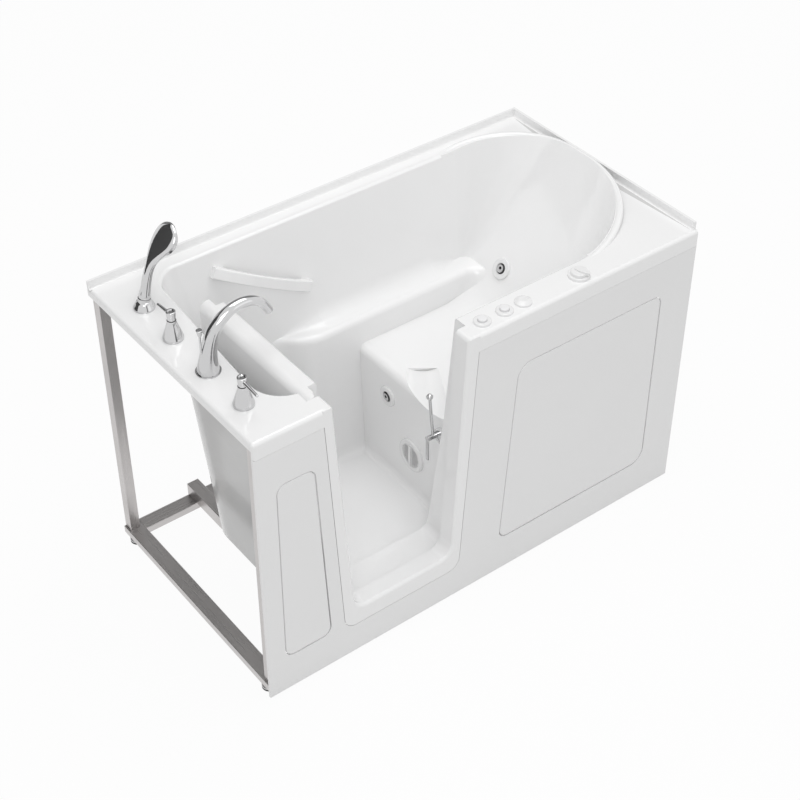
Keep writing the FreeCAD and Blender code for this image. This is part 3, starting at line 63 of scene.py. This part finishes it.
# camera: the photo's own angle, found from the corners of the deck and the frame
cameraView = {
    "place": (-2.3032, -3.0244, 3.6520),
    "looksAt": (0.0, 0.0, 0.480),
    "sensor": 36.0,
    "lens": 74.98,
    "shift": (0.0002, -0.01385),
    "farthest": 60.0,
}


def setCamera():
    lens = bpy.data.cameras.new("photoCamera")
    lens.sensor_width = cameraView["sensor"]
    lens.lens = cameraView["lens"]
    lens.shift_x, lens.shift_y = cameraView["shift"]
    lens.clip_end = cameraView["farthest"]
    holder = bpy.data.objects.new("photoCamera", lens)
    scene.collection.objects.link(holder)
    turnTo(holder, cameraView["place"], cameraView["looksAt"])
    scene.camera = holder


setCamera()
print("camera set")


def addNode(tree, kind, links=None, **settings):
    # links gives each input either a socket to join or a plain value
    node = tree.nodes.new(kind)
    for key, value in settings.items():
        setattr(node, key, value)
    for key, value in (links or {}).items():
        if isinstance(value, bpy.types.NodeSocket):
            tree.links.new(value, node.inputs[key])
        else:
            node.inputs[key].default_value = value
    return node


def calc(tree, operation, *values):
    return addNode(tree, "ShaderNodeMath", dict(enumerate(values)), operation=operation).outputs["Value"]


def mixColors(tree, share, first, second):
    # a Mix node has its colour inputs at 6 and 7 and its colour output at 2
    links = {"Factor": share, 6: first, 7: second}
    return addNode(tree, "ShaderNodeMix", links, data_type="RGBA").outputs[2]


# shared effects, each one node group used by several finishes
def newGroup(name, inputs, outputs):
    tree = bpy.data.node_groups.new(name, "ShaderNodeTree")
    kinds = {"f": "NodeSocketFloat", "c": "NodeSocketColor", "v": "NodeSocketVector"}
    for label, kind, value in inputs:
        socket = tree.interface.new_socket(label, in_out="INPUT", socket_type=kinds[kind])
        socket.default_value = value
    for label, kind in outputs:
        tree.interface.new_socket(label, in_out="OUTPUT", socket_type=kinds[kind])
    return tree, tree.nodes.new("NodeGroupInput").outputs, tree.nodes.new("NodeGroupOutput").inputs


def makeMouldedSkin():
    # the faint ripple of a gloss moulding, with a slower wave under it
    tree, given, out = newGroup(
        "mouldedSkin",
        [("Grain", "f", 180.0), ("Wave", "f", 7.0), ("Wave Share", "f", 0.5)],
        [("Height", "f"), ("Roughness Drift", "f")])
    spot = addNode(tree, "ShaderNodeTexCoord").outputs["Object"]
    fine = addNode(tree, "ShaderNodeTexNoise", {"Vector": spot, "Scale": given["Grain"], "Detail": 2.0})
    slow = addNode(tree, "ShaderNodeTexNoise", {"Vector": spot, "Scale": given["Wave"], "Detail": 3.0})
    both = addNode(tree, "ShaderNodeMix", {
        "Factor": given["Wave Share"], "A": fine.outputs["Fac"], "B": slow.outputs["Fac"],
    }, data_type="FLOAT")
    drift = addNode(tree, "ShaderNodeMapRange", {
        "Value": slow.outputs["Fac"], "From Min": 0.3, "From Max": 0.7, "To Min": 0.8, "To Max": 1.2,
    })
    tree.links.new(both.outputs["Result"], out["Height"])
    tree.links.new(drift.outputs["Result"], out["Roughness Drift"])
    return tree


def makeToneDrift():
    # slow change of tone over a surface
    tree, given, out = newGroup(
        "toneDrift",
        [("Tone", "c", (0.8, 0.8, 0.8, 1.0)), ("Other Tone", "c", (0.7, 0.7, 0.7, 1.0)),
         ("Scale", "f", 5.0), ("Share", "f", 0.5)],
        [("Color", "c")])
    spot = addNode(tree, "ShaderNodeTexCoord").outputs["Object"]
    cloud = addNode(tree, "ShaderNodeTexNoise", {"Vector": spot, "Scale": given["Scale"], "Detail": 4.0})
    mask = addNode(tree, "ShaderNodeMapRange", {
        "Value": cloud.outputs["Fac"], "From Min": 0.35, "From Max": 0.65,
    })
    share = calc(tree, "MULTIPLY", mask.outputs["Result"], given["Share"])
    tree.links.new(mixColors(tree, share, given["Tone"], given["Other Tone"]), out["Color"])
    return tree


def makeBrushedGrain():
    # fine scratches drawn out along one axis of the piece
    tree, given, out = newGroup(
        "brushedGrain",
        [("Stretch", "v", (400.0, 400.0, 6.0)), ("Depth", "f", 0.5)],
        [("Height", "f"), ("Roughness Drift", "f")])
    spot = addNode(tree, "ShaderNodeTexCoord").outputs["Object"]
    drawn = addNode(tree, "ShaderNodeVectorMath", {0: spot, 1: given["Stretch"]}, operation="MULTIPLY")
    lines = addNode(tree, "ShaderNodeTexNoise", {
        "Vector": drawn.outputs["Vector"], "Scale": 1.0, "Detail": 3.0,
    })
    drift = addNode(tree, "ShaderNodeMapRange", {
        "Value": lines.outputs["Fac"], "From Min": 0.3, "From Max": 0.7, "To Min": 0.75, "To Max": 1.25,
    })
    tree.links.new(calc(tree, "MULTIPLY", lines.outputs["Fac"], given["Depth"]), out["Height"])
    tree.links.new(drift.outputs["Result"], out["Roughness Drift"])
    return tree


def makeSettledDust():
    # thin dust that lies where the piece faces upwards
    tree, given, out = newGroup("settledDust", [("Amount", "f", 0.2), ("Scale", "f", 30.0)], [("Mask", "f")])
    place = addNode(tree, "ShaderNodeTexCoord")
    upward = addNode(tree, "ShaderNodeSeparateXYZ", {"Vector": place.outputs["Normal"]})
    level = addNode(tree, "ShaderNodeMapRange", {
        "Value": upward.outputs["Z"], "From Min": 0.2, "From Max": 0.95,
    })
    cloud = addNode(tree, "ShaderNodeTexNoise", {
        "Vector": place.outputs["Object"], "Scale": given["Scale"], "Detail": 5.0,
    })
    spread = calc(tree, "MULTIPLY", level.outputs["Result"], cloud.outputs["Fac"])
    tree.links.new(calc(tree, "MULTIPLY", spread, given["Amount"]), out["Mask"])
    return tree


mouldedSkin = makeMouldedSkin()
toneDrift = makeToneDrift()
brushedGrain = makeBrushedGrain()
settledDust = makeSettledDust()
print("shared effects made")

# finishes: skin is grain, wave and share of the wave, brush is the stretch of the scratches
frameSteel = {
    "tone": (0.575, 0.556, 0.550), "other": (0.525, 0.507, 0.502), "scale": 9.0,
    "rough": 0.34, "metal": 1.0, "bump": 0.12,
}
finishes = {
    "acrylicGloss": {
        "tone": (0.925, 0.925, 0.925), "other": (0.91, 0.91, 0.911), "scale": 2.5,
        "rough": 0.13, "skin": (160.0, 6.0, 0.75), "bump": 0.06, "coat": 0.35,
    },
    # painted shade: a darker tone standing in for the shade on the shell's faces under the deck
    "laminateBack": {
        "tone": (0.63, 0.63, 0.628), "other": (0.60, 0.60, 0.597), "scale": 9.0,
        "rough": 0.17, "skin": (95.0, 12.0, 0.6), "bump": 0.12, "coat": 0.25,
    },
    "panelGloss": {
        "tone": (0.87, 0.87, 0.87), "other": (0.855, 0.855, 0.856), "scale": 3.5,
        "rough": 0.16, "skin": (220.0, 9.0, 0.6), "bump": 0.05, "coat": 0.3,
    },
    "trimWhite": {
        "tone": (0.86, 0.86, 0.86), "other": (0.83, 0.83, 0.831), "scale": 30.0,
        "rough": 0.2, "skin": (500.0, 40.0, 0.4), "bump": 0.05, "coat": 0.2,
    },
    # painted shade: a grey standing in for the shade on sunken faces and on the sides of the button caps
    "grilleGrey": {
        "tone": (0.66, 0.66, 0.662), "other": (0.60, 0.60, 0.602), "scale": 40.0,
        "rough": 0.32, "skin": (600.0, 50.0, 0.4), "bump": 0.08,
    },
    "capSatin": {
        "tone": (0.86, 0.86, 0.865), "other": (0.83, 0.83, 0.838), "scale": 60.0,
        "rough": 0.34, "skin": (900.0, 60.0, 0.3), "bump": 0.08,
    },
    "footRubber": {
        "tone": (0.028, 0.028, 0.029), "other": (0.05, 0.049, 0.047), "scale": 45.0,
        "rough": 0.75, "skin": (420.0, 40.0, 0.3), "bump": 0.4, "dust": 0.25,
    },
    "sealRubber": {
        "tone": (0.62, 0.625, 0.63), "other": (0.56, 0.56, 0.565), "scale": 35.0,
        "rough": 0.6, "skin": (480.0, 40.0, 0.3), "bump": 0.25,
    },
    "pipeWhite": {
        "tone": (0.76, 0.76, 0.75), "other": (0.71, 0.71, 0.69), "scale": 18.0,
        "rough": 0.36, "skin": (260.0, 25.0, 0.4), "bump": 0.1, "dust": 0.15,
    },
    "pumpBlack": {
        "tone": (0.022, 0.022, 0.024), "other": (0.04, 0.04, 0.042), "scale": 35.0,
        "rough": 0.5, "skin": (650.0, 50.0, 0.2), "bump": 0.35, "dust": 0.3,
    },
    "motorPaint": {
        "tone": (0.10, 0.105, 0.115), "other": (0.14, 0.145, 0.155), "scale": 25.0,
        "rough": 0.42, "skin": (520.0, 45.0, 0.3), "bump": 0.3, "dust": 0.3,
    },
    # black of the aerator gauze and the shower nubs, also the painted shade in the jet nozzles' bores and
    # collars
    "gauzeBlack": {
        "tone": (0.018, 0.018, 0.019), "other": (0.035, 0.035, 0.036), "scale": 120.0,
        "rough": 0.5, "skin": (1500.0, 200.0, 0.3), "bump": 0.5,
    },
    "steelUpright": {**frameSteel, "brush": (520.0, 520.0, 5.0), "dust": 0.05},
    "steelAlongX": {**frameSteel, "brush": (5.0, 520.0, 520.0), "dust": 0.08},
    "steelAlongY": {**frameSteel, "brush": (520.0, 5.0, 520.0), "dust": 0.08},
    "nutSteel": {
        "tone": (0.50, 0.50, 0.50), "other": (0.42, 0.42, 0.43), "scale": 40.0,
        "rough": 0.3, "metal": 1.0, "brush": (260.0, 260.0, 900.0), "bump": 0.1,
    },
    "chrome": {
        "tone": (0.63, 0.63, 0.635), "other": (0.59, 0.59, 0.595), "scale": 12.0,
        "rough": 0.055, "metal": 1.0, "brush": (70.0, 70.0, 70.0), "bump": 0.008,
    },
    "valveBrass": {
        "tone": (0.60, 0.43, 0.19), "other": (0.50, 0.34, 0.14), "scale": 40.0,
        "rough": 0.36, "metal": 1.0, "brush": (150.0, 150.0, 700.0), "bump": 0.1,
    },
}
finishBase = {
    "toneShare": 0.6,
    "coatRough": 0.04,
    "dustTone": (0.52, 0.50, 0.46, 1.0),
    "bumpDistance": 0.001,
}


def makeFinish(name):
    look = finishes[name]
    material = bpy.data.materials.new(name)
    material.use_nodes = True
    tree = material.node_tree
    shader = tree.nodes["Principled BSDF"].inputs
    shader["Metallic"].default_value = look.get("metal", 0.0)
    shader["Coat Weight"].default_value = look.get("coat", 0.0)
    shader["Coat Roughness"].default_value = finishBase["coatRough"]
    tone = addNode(tree, "ShaderNodeGroup", node_tree=toneDrift)
    tone.inputs["Tone"].default_value = (*look["tone"], 1.0)
    tone.inputs["Other Tone"].default_value = (*look["other"], 1.0)
    tone.inputs["Scale"].default_value = look["scale"]
    tone.inputs["Share"].default_value = finishBase["toneShare"]
    color = tone.outputs["Color"]
    if "dust" in look:
        dust = addNode(tree, "ShaderNodeGroup", node_tree=settledDust)
        dust.inputs["Amount"].default_value = look["dust"]
        color = mixColors(tree, dust.outputs["Mask"], color, finishBase["dustTone"])
    tree.links.new(color, shader["Base Color"])
    if "skin" in look:
        relief = addNode(tree, "ShaderNodeGroup", node_tree=mouldedSkin)
        for label, value in zip(("Grain", "Wave", "Wave Share"), look["skin"]):
            relief.inputs[label].default_value = value
    else:
        relief = addNode(tree, "ShaderNodeGroup", node_tree=brushedGrain)
        relief.inputs["Stretch"].default_value = look["brush"]
    rough = calc(tree, "MULTIPLY", relief.outputs["Roughness Drift"], look["rough"])
    tree.links.new(rough, shader["Roughness"])
    bump = addNode(tree, "ShaderNodeBump", {
        "Height": relief.outputs["Height"], "Strength": look["bump"], "Distance": finishBase["bumpDistance"],
    })
    tree.links.new(bump.outputs["Normal"], shader["Normal"])
    return material


finishOf = {name: makeFinish(name) for name in finishes}
print("finishes made:", len(finishOf))

# meshes: lengths in metres, angles in degrees
meshCare = {"weld": 1e-6, "hardAngle": 32.0, "flatAngle": 1.0, "softAngle": 50.0, "softSteps": 2}


def camel(nodeName):
    words = nodeName.split("_")
    return words[0] + "".join(word.capitalize() for word in words[1:])


def markHard(skin):
    hardAngle = math.radians(meshCare["hardAngle"])
    for edge in skin.edges:
        edge.smooth = len(edge.link_faces) == 2 and edge.calc_face_angle(0.0) < hardAngle
    for face in skin.faces:
        face.smooth = True


def smoothed(nodeName):
    # a welded copy of the node's mesh, with its hard edges marked
    skin = bmesh.new()
    skin.from_mesh(frame["nodes"][nodeName].data)
    bmesh.ops.remove_doubles(skin, verts=skin.verts, dist=meshCare["weld"])
    markHard(skin)
    return skin


def plainMesh(piece):
    # the piece's mesh as its modifiers leave it
    return bpy.data.meshes.new_from_object(piece.evaluated_get(bpy.context.evaluated_depsgraph_get()))


def dress(nodeName, skin, finishNames, softenMm=0.0):
    mesh = bpy.data.meshes.new(camel(nodeName))
    skin.to_mesh(mesh)
    skin.free()
    for finishName in finishNames:
        mesh.materials.append(finishOf[finishName])
    piece = bpy.data.objects.new(camel(nodeName), mesh)
    scene.collection.objects.link(piece)
    if softenMm > 0.0:
        edge = piece.modifiers.new("softEdge", "BEVEL")
        edge.width = softenMm / 1000.0
        edge.segments = meshCare["softSteps"]
        edge.limit_method = "ANGLE"
        edge.angle_limit = math.radians(meshCare["softAngle"])
    even = piece.modifiers.new("evenNormals", "WEIGHTED_NORMAL")
    even.keep_sharp = True
    settled = plainMesh(piece)
    piece.modifiers.clear()
    piece.data = settled
    bpy.data.meshes.remove(mesh)
    settled.name = piece.name
    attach(piece, bodyOf[nodeName])
    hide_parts(nodeName)


# plain pieces: their finish, their slot in the record and how far their edges are softened
plainPieces = [
    {"finish": "panelGloss", "slot": "gloss_shell", "softenMm": 0.0,
     "nodes": ["front_skirt", "access_panel_left", "access_panel_right"]},
    {"finish": "trimWhite", "slot": "trim_white", "softenMm": 0.0,
     "nodes": ["jet_rings", "button_bezels", "blank_cap", "dial_base", "dial_knob"]},
    {"finish": "capSatin", "slot": "button_white", "softenMm": 0.0,
     "nodes": ["button_cap_near", "button_cap_far"]},
    {"finish": "sealRubber", "slot": "seal_rubber", "softenMm": 0.6, "nodes": ["door_seal"]},
    {"finish": "footRubber", "slot": "foot_rubber", "softenMm": 1.2, "nodes": ["foot_rubbers"]},
    {"finish": "steelUpright", "slot": "frame_steel", "softenMm": 1.5,
     "nodes": ["post_front_left", "post_back_left", "post_front_right", "post_back_right"]},
    {"finish": "steelAlongX", "slot": "frame_steel", "softenMm": 1.5,
     "nodes": ["base_rail_front", "base_rail_back", "pump_tray"]},
    {"finish": "steelAlongY", "slot": "frame_steel", "softenMm": 1.5,
     "nodes": ["base_rail_left", "base_rail_right", "floor_bearers"]},
    {"finish": "nutSteel", "slot": "frame_steel", "softenMm": 0.7,
     "nodes": ["foot_stems", "foot_nuts", "hinge_brackets", "hinge_pins"]},
    {"finish": "nutSteel", "slot": "nut_steel", "softenMm": 0.7,
     "nodes": ["grab_bar_nuts", "panel_catches"]},
    {"finish": "chrome", "slot": "faucet_chrome", "softenMm": 0.0,
     "nodes": ["handle_base_front", "handle_base_back", "handle_lever_front", "handle_lever_back", "spout",
               "diverter_knob", "shower_holder", "hand_shower", "drain_stopper", "drain_body"]},
    {"finish": "chrome", "slot": "faucet_chrome", "softenMm": 0.8,
     "nodes": ["latch_bracket", "latch_axle", "latch_lever", "latch_strike"]},
    {"finish": "gauzeBlack", "slot": "aerator_black", "softenMm": 0.0, "nodes": ["spout_aerator"]},
    {"finish": "valveBrass", "slot": "valve_brass", "softenMm": 0.6, "nodes": ["valve_bodies", "faucet_nuts"]},
    {"finish": "pipeWhite", "slot": "pipe_white", "softenMm": 0.6,
     "nodes": ["jet_bodies", "suction_body", "air_valve", "suction_pipe", "pressure_pipe"]},
    {"finish": "pumpBlack", "slot": "pump_black", "softenMm": 1.5, "nodes": ["pump_wet_end"]},
    {"finish": "motorPaint", "slot": "motor_grey", "softenMm": 1.5, "nodes": ["pump_motor"]},
]

for look in plainPieces:
    for nodeName in look["nodes"]:
        dress(nodeName, smoothed(nodeName), [look["finish"]], look["softenMm"])
print("plain pieces dressed")

# shell: gloss where a face sees the sky, a darker tone painted as shade on the faces hidden from it
shellLook = {"rayLift": 0.0004, "rayTilt": 0.03}


def dressShell():
    skin = smoothed("tub_shell")
    hull = BVHTree.FromBMesh(skin)
    tilt = shellLook["rayTilt"]
    leans = ((0.0, 0.0), (tilt, 0.0), (-tilt, 0.0), (0.0, tilt), (0.0, -tilt))
    ways = [Vector((x, y, 1.0)).normalized() for x, y in leans]
    for face in skin.faces:
        start = face.calc_center_median() + face.normal * shellLook["rayLift"]
        # a face that sees no sky gets the painted shade
        face.material_index = int(all(hull.ray_cast(start, way)[0] is not None for way in ways))
    dress("tub_shell", skin, ["acrylicGloss", "laminateBack"])


dressShell()
print("shell dressed")

# door: its top rolls over softly on the side that faces the bather when it is shut
doorLook = {"roll": 0.027, "cuts": 9, "weld": 2e-5}


def dressDoor():
    skin = smoothed("door_panel")
    low, high = (Vector(corner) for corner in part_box("door_panel"))
    roll = doorLook["roll"]
    for step in range(1, doorLook["cuts"] + 1):
        deep = roll * (1.0 - math.cos(step / doorLook["cuts"] * math.pi / 2))
        planes = (((low.x + deep, 0.0, 0.0), (1.0, 0.0, 0.0)), ((0.0, 0.0, high.z - deep), (0.0, 0.0, 1.0)))
        for spot, way in planes:
            everything = skin.verts[:] + skin.edges[:] + skin.faces[:]
            bmesh.ops.bisect_plane(skin, geom=everything, plane_co=spot, plane_no=way)
    for vert in skin.verts:
        # points outside the roll's circle are drawn in to it
        across = roll - (vert.co.x - low.x)
        above = roll - (high.z - vert.co.z)
        reach = math.hypot(across, above)
        if across > 0.0 and above > 0.0 and reach > roll:
            vert.co.x = low.x + roll - across * roll / reach
            vert.co.z = high.z - roll + above * roll / reach
    bmesh.ops.remove_doubles(skin, verts=skin.verts, dist=doorLook["weld"])
    bmesh.ops.triangulate(skin, faces=skin.faces[:])
    markHard(skin)
    dress("door_panel", skin, ["acrylicGloss"])


dressDoor()
print("door dressed")

# grab bar: a moulded bar with soft edges
grabBarLook = {"softenMm": 6.0}


def dressGrabBar():
    skin = smoothed("grab_bar")
    # triangles of one flat face become one face again, so that the bevel has room
    flatAngle = math.radians(meshCare["flatAngle"])
    bmesh.ops.dissolve_limit(skin, angle_limit=flatAngle, verts=skin.verts[:], edges=skin.edges[:])
    markHard(skin)
    dress("grab_bar", skin, ["acrylicGloss"], grabBarLook["softenMm"])


dressGrabBar()
print("grab bar dressed")

# suction cover: sunken face inside a white rim painted grey as shade, with a white bar across it
suctionLook = {"faceRadius": 0.041, "barRise": 0.0055}


def dressSuction():
    skin = smoothed("suction_cover")
    low, high = (Vector(corner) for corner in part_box("suction_cover"))
    middle = (low + high) / 2
    for face in skin.faces:
        spot = face.calc_center_median()
        reach = math.hypot(spot.y - middle.y, spot.z - middle.z)
        sunken = spot.x > low.x + suctionLook["barRise"]
        # the sunken face gets the painted shade grey
        face.material_index = int(reach < suctionLook["faceRadius"] and sunken)
    dress("suction_cover", skin, ["trimWhite", "grilleGrey"])


dressSuction()
print("suction cover dressed")

# jet nozzles: chrome eyes, with the bore and the collar round it painted black as shade
nozzleLook = {"boreReach": 0.009, "boreTurn": 0.25, "collarTurn": 0.90}


def dressNozzle(joint):
    nodeName = "jet_" + joint["child"]
    skin = smoothed(nodeName)
    axis = Vector(joint["axis"]).normalized()
    base = Vector(joint["pos_m"])
    for face in skin.faces:
        spot = face.calc_center_median() - base
        reach = (spot - axis * spot.dot(axis)).length
        turn = abs(face.normal.dot(axis))
        inBore = reach < nozzleLook["boreReach"] and turn < nozzleLook["boreTurn"]
        onCollar = reach > nozzleLook["boreReach"] and turn < nozzleLook["collarTurn"]
        # bore and collar faces get the painted shade
        face.material_index = int(inBore or onCollar)
    dress(nodeName, skin, ["chrome", "gauzeBlack"])


for joint in behaviour["joints"]:
    if joint["child"].startswith("nozzle_"):
        dressNozzle(joint)
print("jet nozzles dressed")

# repeated small forms: nubs in the face of the hand shower, ribs round the button caps; the ribs are painted
# grey as the shade on the caps' sides
sprayNubs = {
    "count": 61, "spread": 0.0265, "radius": 0.0011, "rise": 0.0022,
    "centre": (-0.5903, 0.2366, 1.1270), "facing": (0.7705, 0.0, -0.6374),
}
capRibs = {"count": 26, "spread": 0.01305, "radius": 0.00055, "rise": 0.0042, "lift": 0.0078}
studForm = {"sides": 10, "topShare": 0.7}
studInputs = {
    "Count": "NodeSocketInt",
    "Spread": "NodeSocketFloat",
    "Radius": "NodeSocketFloat",
    "Rise": "NodeSocketFloat",
}
goldenTurn = math.pi * (3.0 - math.sqrt(5.0))


def grow(name, look, ring, finishName):
    # round studs on one ring or on a sunflower pattern, all standing along +Z
    tree = bpy.data.node_groups.new(name, "GeometryNodeTree")
    tree.interface.new_socket("Geometry", in_out="OUTPUT", socket_type="NodeSocketGeometry")
    sockets = {}
    for label, kind in studInputs.items():
        sockets[label] = tree.interface.new_socket(label, in_out="INPUT", socket_type=kind).identifier
    given = tree.nodes.new("NodeGroupInput").outputs
    out = tree.nodes.new("NodeGroupOutput")
    dots = addNode(tree, "GeometryNodePoints", {"Count": given["Count"]})
    index = addNode(tree, "GeometryNodeInputIndex").outputs[0]
    share = calc(tree, "DIVIDE", index, given["Count"])
    if ring:
        turn = calc(tree, "MULTIPLY", share, math.tau)
        reach = given["Spread"]
    else:
        turn = calc(tree, "MULTIPLY", index, goldenTurn)
        reach = calc(tree, "MULTIPLY", calc(tree, "SQRT", share), given["Spread"])
    spot = addNode(tree, "ShaderNodeCombineXYZ", {
        "X": calc(tree, "MULTIPLY", calc(tree, "COSINE", turn), reach),
        "Y": calc(tree, "MULTIPLY", calc(tree, "SINE", turn), reach),
    })
    placed = addNode(tree, "GeometryNodeSetPosition", {
        "Geometry": dots.outputs[0], "Position": spot.outputs[0],
    })
    stud = addNode(tree, "GeometryNodeMeshCone", {
        "Vertices": studForm["sides"], "Radius Bottom": given["Radius"],
        "Radius Top": calc(tree, "MULTIPLY", given["Radius"], studForm["topShare"]), "Depth": given["Rise"],
    })
    studs = addNode(tree, "GeometryNodeInstanceOnPoints", {
        "Points": placed.outputs[0], "Instance": stud.outputs[0],
    })
    real = addNode(tree, "GeometryNodeRealizeInstances", {"Geometry": studs.outputs[0]})
    worn = addNode(tree, "GeometryNodeSetMaterial", {
        "Geometry": real.outputs[0], "Material": finishOf[finishName],
    })
    tree.links.new(worn.outputs[0], out.inputs[0])
    piece = bpy.data.objects.new(name, bpy.data.meshes.new(name))
    scene.collection.objects.link(piece)
    grower = piece.modifiers.new("grown", "NODES")
    grower.node_group = tree
    for label, identifier in sockets.items():
        grower[identifier] = look[label.lower()]
    mesh = plainMesh(piece)
    piece.modifiers.remove(grower)
    piece.data = mesh
    return piece


def growNubs():
    nubs = grow("sprayNubs", sprayNubs, False, "gauzeBlack")
    facing = Vector(sprayNubs["facing"])
    nubs.data.transform(facing.to_track_quat("Z", "Y").to_matrix().to_4x4())
    nubs.data.transform(Matrix.Translation(sprayNubs["centre"]))
    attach(nubs, "handset")


def growRibs(side):
    low, high = (Vector(corner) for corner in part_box("button_cap_" + side))
    middle = (low + high) / 2
    # the ribs wear the painted shade grey, for the darker side of the cap
    ribs = grow(side + "CapRibs", capRibs, True, "grilleGrey")
    ribs.data.transform(Matrix.Translation((middle.x, middle.y, high.z - capRibs["lift"])))
    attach(ribs, "button_" + side)


growNubs()
for side in ("near", "far"):
    growRibs(side)
print("small forms grown")

# stage: white floor and sky, soft light from above, darker cards that only reflections show
stageLook = {
    "floorSize": 40.0,
    "floorTone": 0.80,
    "floorRough": 0.9,
    "floorGlow": 0.95,
    "skyLight": 0.60,
    "cardRough": 1.0,
    "cards": {
        "leftFlag": {"place": (-3.4, 2.5, 2.6), "size": (4.4, 4.6), "aim": (-0.6, 0.2, 1.1), "tone": 0.11},
        "backCurtain": {"place": (1.6, 3.6, 3.2), "size": (7.5, 5.0), "aim": (0.0, 0.0, 0.8), "tone": 0.45},
    },
    "softboxes": {
        "overhead": {"place": (0.4, 0.1, 4.3), "size": (2.4, 2.4), "power": 43.0, "aim": (0.1, 0.0, 0.6)},
        "cameraSide": {"place": (-2.6, -3.3, 4.3), "size": (2.2, 2.2), "power": 46.0, "aim": (0.1, 0.1, 0.6)},
        "frontFill": {"place": (1.6, -4.2, 2.2), "size": (2.6, 2.2), "power": 5.0, "aim": (0.1, 0.0, 0.5)},
    },
}


def seenRays(tree):
    # 1 for camera, glossy and transmission rays, 0 for the diffuse rays that light the part
    rays = addNode(tree, "ShaderNodeLightPath").outputs
    seen = calc(tree, "MAXIMUM", rays["Is Camera Ray"], rays["Is Glossy Ray"])
    return calc(tree, "MAXIMUM", seen, rays["Is Transmission Ray"])


def mattGrey(name, tone, rough):
    paper = bpy.data.materials.new(name)
    paper.use_nodes = True
    shader = paper.node_tree.nodes["Principled BSDF"]
    shader.inputs["Base Color"].default_value = (tone, tone, tone, 1.0)
    shader.inputs["Roughness"].default_value = rough
    return paper, shader


def setFloor():
    bpy.ops.mesh.primitive_plane_add(size=stageLook["floorSize"], location=(0.0, 0.0, 0.0))
    floor = bpy.context.object
    floor.name = "studioFloor"
    paper, shader = mattGrey("studioPaper", stageLook["floorTone"], stageLook["floorRough"])
    shader.inputs["Specular IOR Level"].default_value = 0.0
    tree = paper.node_tree
    glow = addNode(tree, "ShaderNodeEmission", {"Color": (1.0, 1.0, 1.0, 1.0), "Strength": 1.0})
    mixed = addNode(tree, "ShaderNodeMixShader", {
        0: calc(tree, "MULTIPLY", seenRays(tree), stageLook["floorGlow"]),
        1: shader.outputs["BSDF"], 2: glow.outputs["Emission"],
    })
    tree.links.new(mixed.outputs["Shader"], tree.nodes["Material Output"].inputs["Surface"])
    floor.data.materials.append(paper)


def setSky():
    world = bpy.data.worlds.new("studioSky")
    scene.world = world
    world.use_nodes = True
    tree = world.node_tree
    back = tree.nodes["Background"].inputs
    back["Color"].default_value = (1.0, 1.0, 1.0, 1.0)
    level = addNode(tree, "ShaderNodeMapRange", {
        "Value": seenRays(tree), "To Min": stageLook["skyLight"], "To Max": 1.0,
    })
    tree.links.new(level.outputs["Result"], back["Strength"])


def setCard(name, look):
    bpy.ops.mesh.primitive_plane_add(size=1.0, location=look["place"])
    card = bpy.context.object
    card.name = name
    card.scale = (*look["size"], 1.0)
    turnTo(card, look["place"], look["aim"], "Z")
    card.data.materials.append(mattGrey(name + "Cloth", look["tone"], stageLook["cardRough"])[0])
    card.visible_camera = False
    card.visible_diffuse = False
    card.visible_shadow = False
    card.visible_transmission = False


def setSoftbox(name, look):
    light = bpy.data.lights.new(name, "AREA")
    light.shape = "RECTANGLE"
    light.size, light.size_y = look["size"]
    light.energy = look["power"]
    holder = bpy.data.objects.new(name, light)
    scene.collection.objects.link(holder)
    turnTo(holder, look["place"], look["aim"])


setFloor()
setSky()
for name, look in stageLook["cards"].items():
    setCard(name, look)
for name, look in stageLook["softboxes"].items():
    setSoftbox(name, look)
print("stage set")
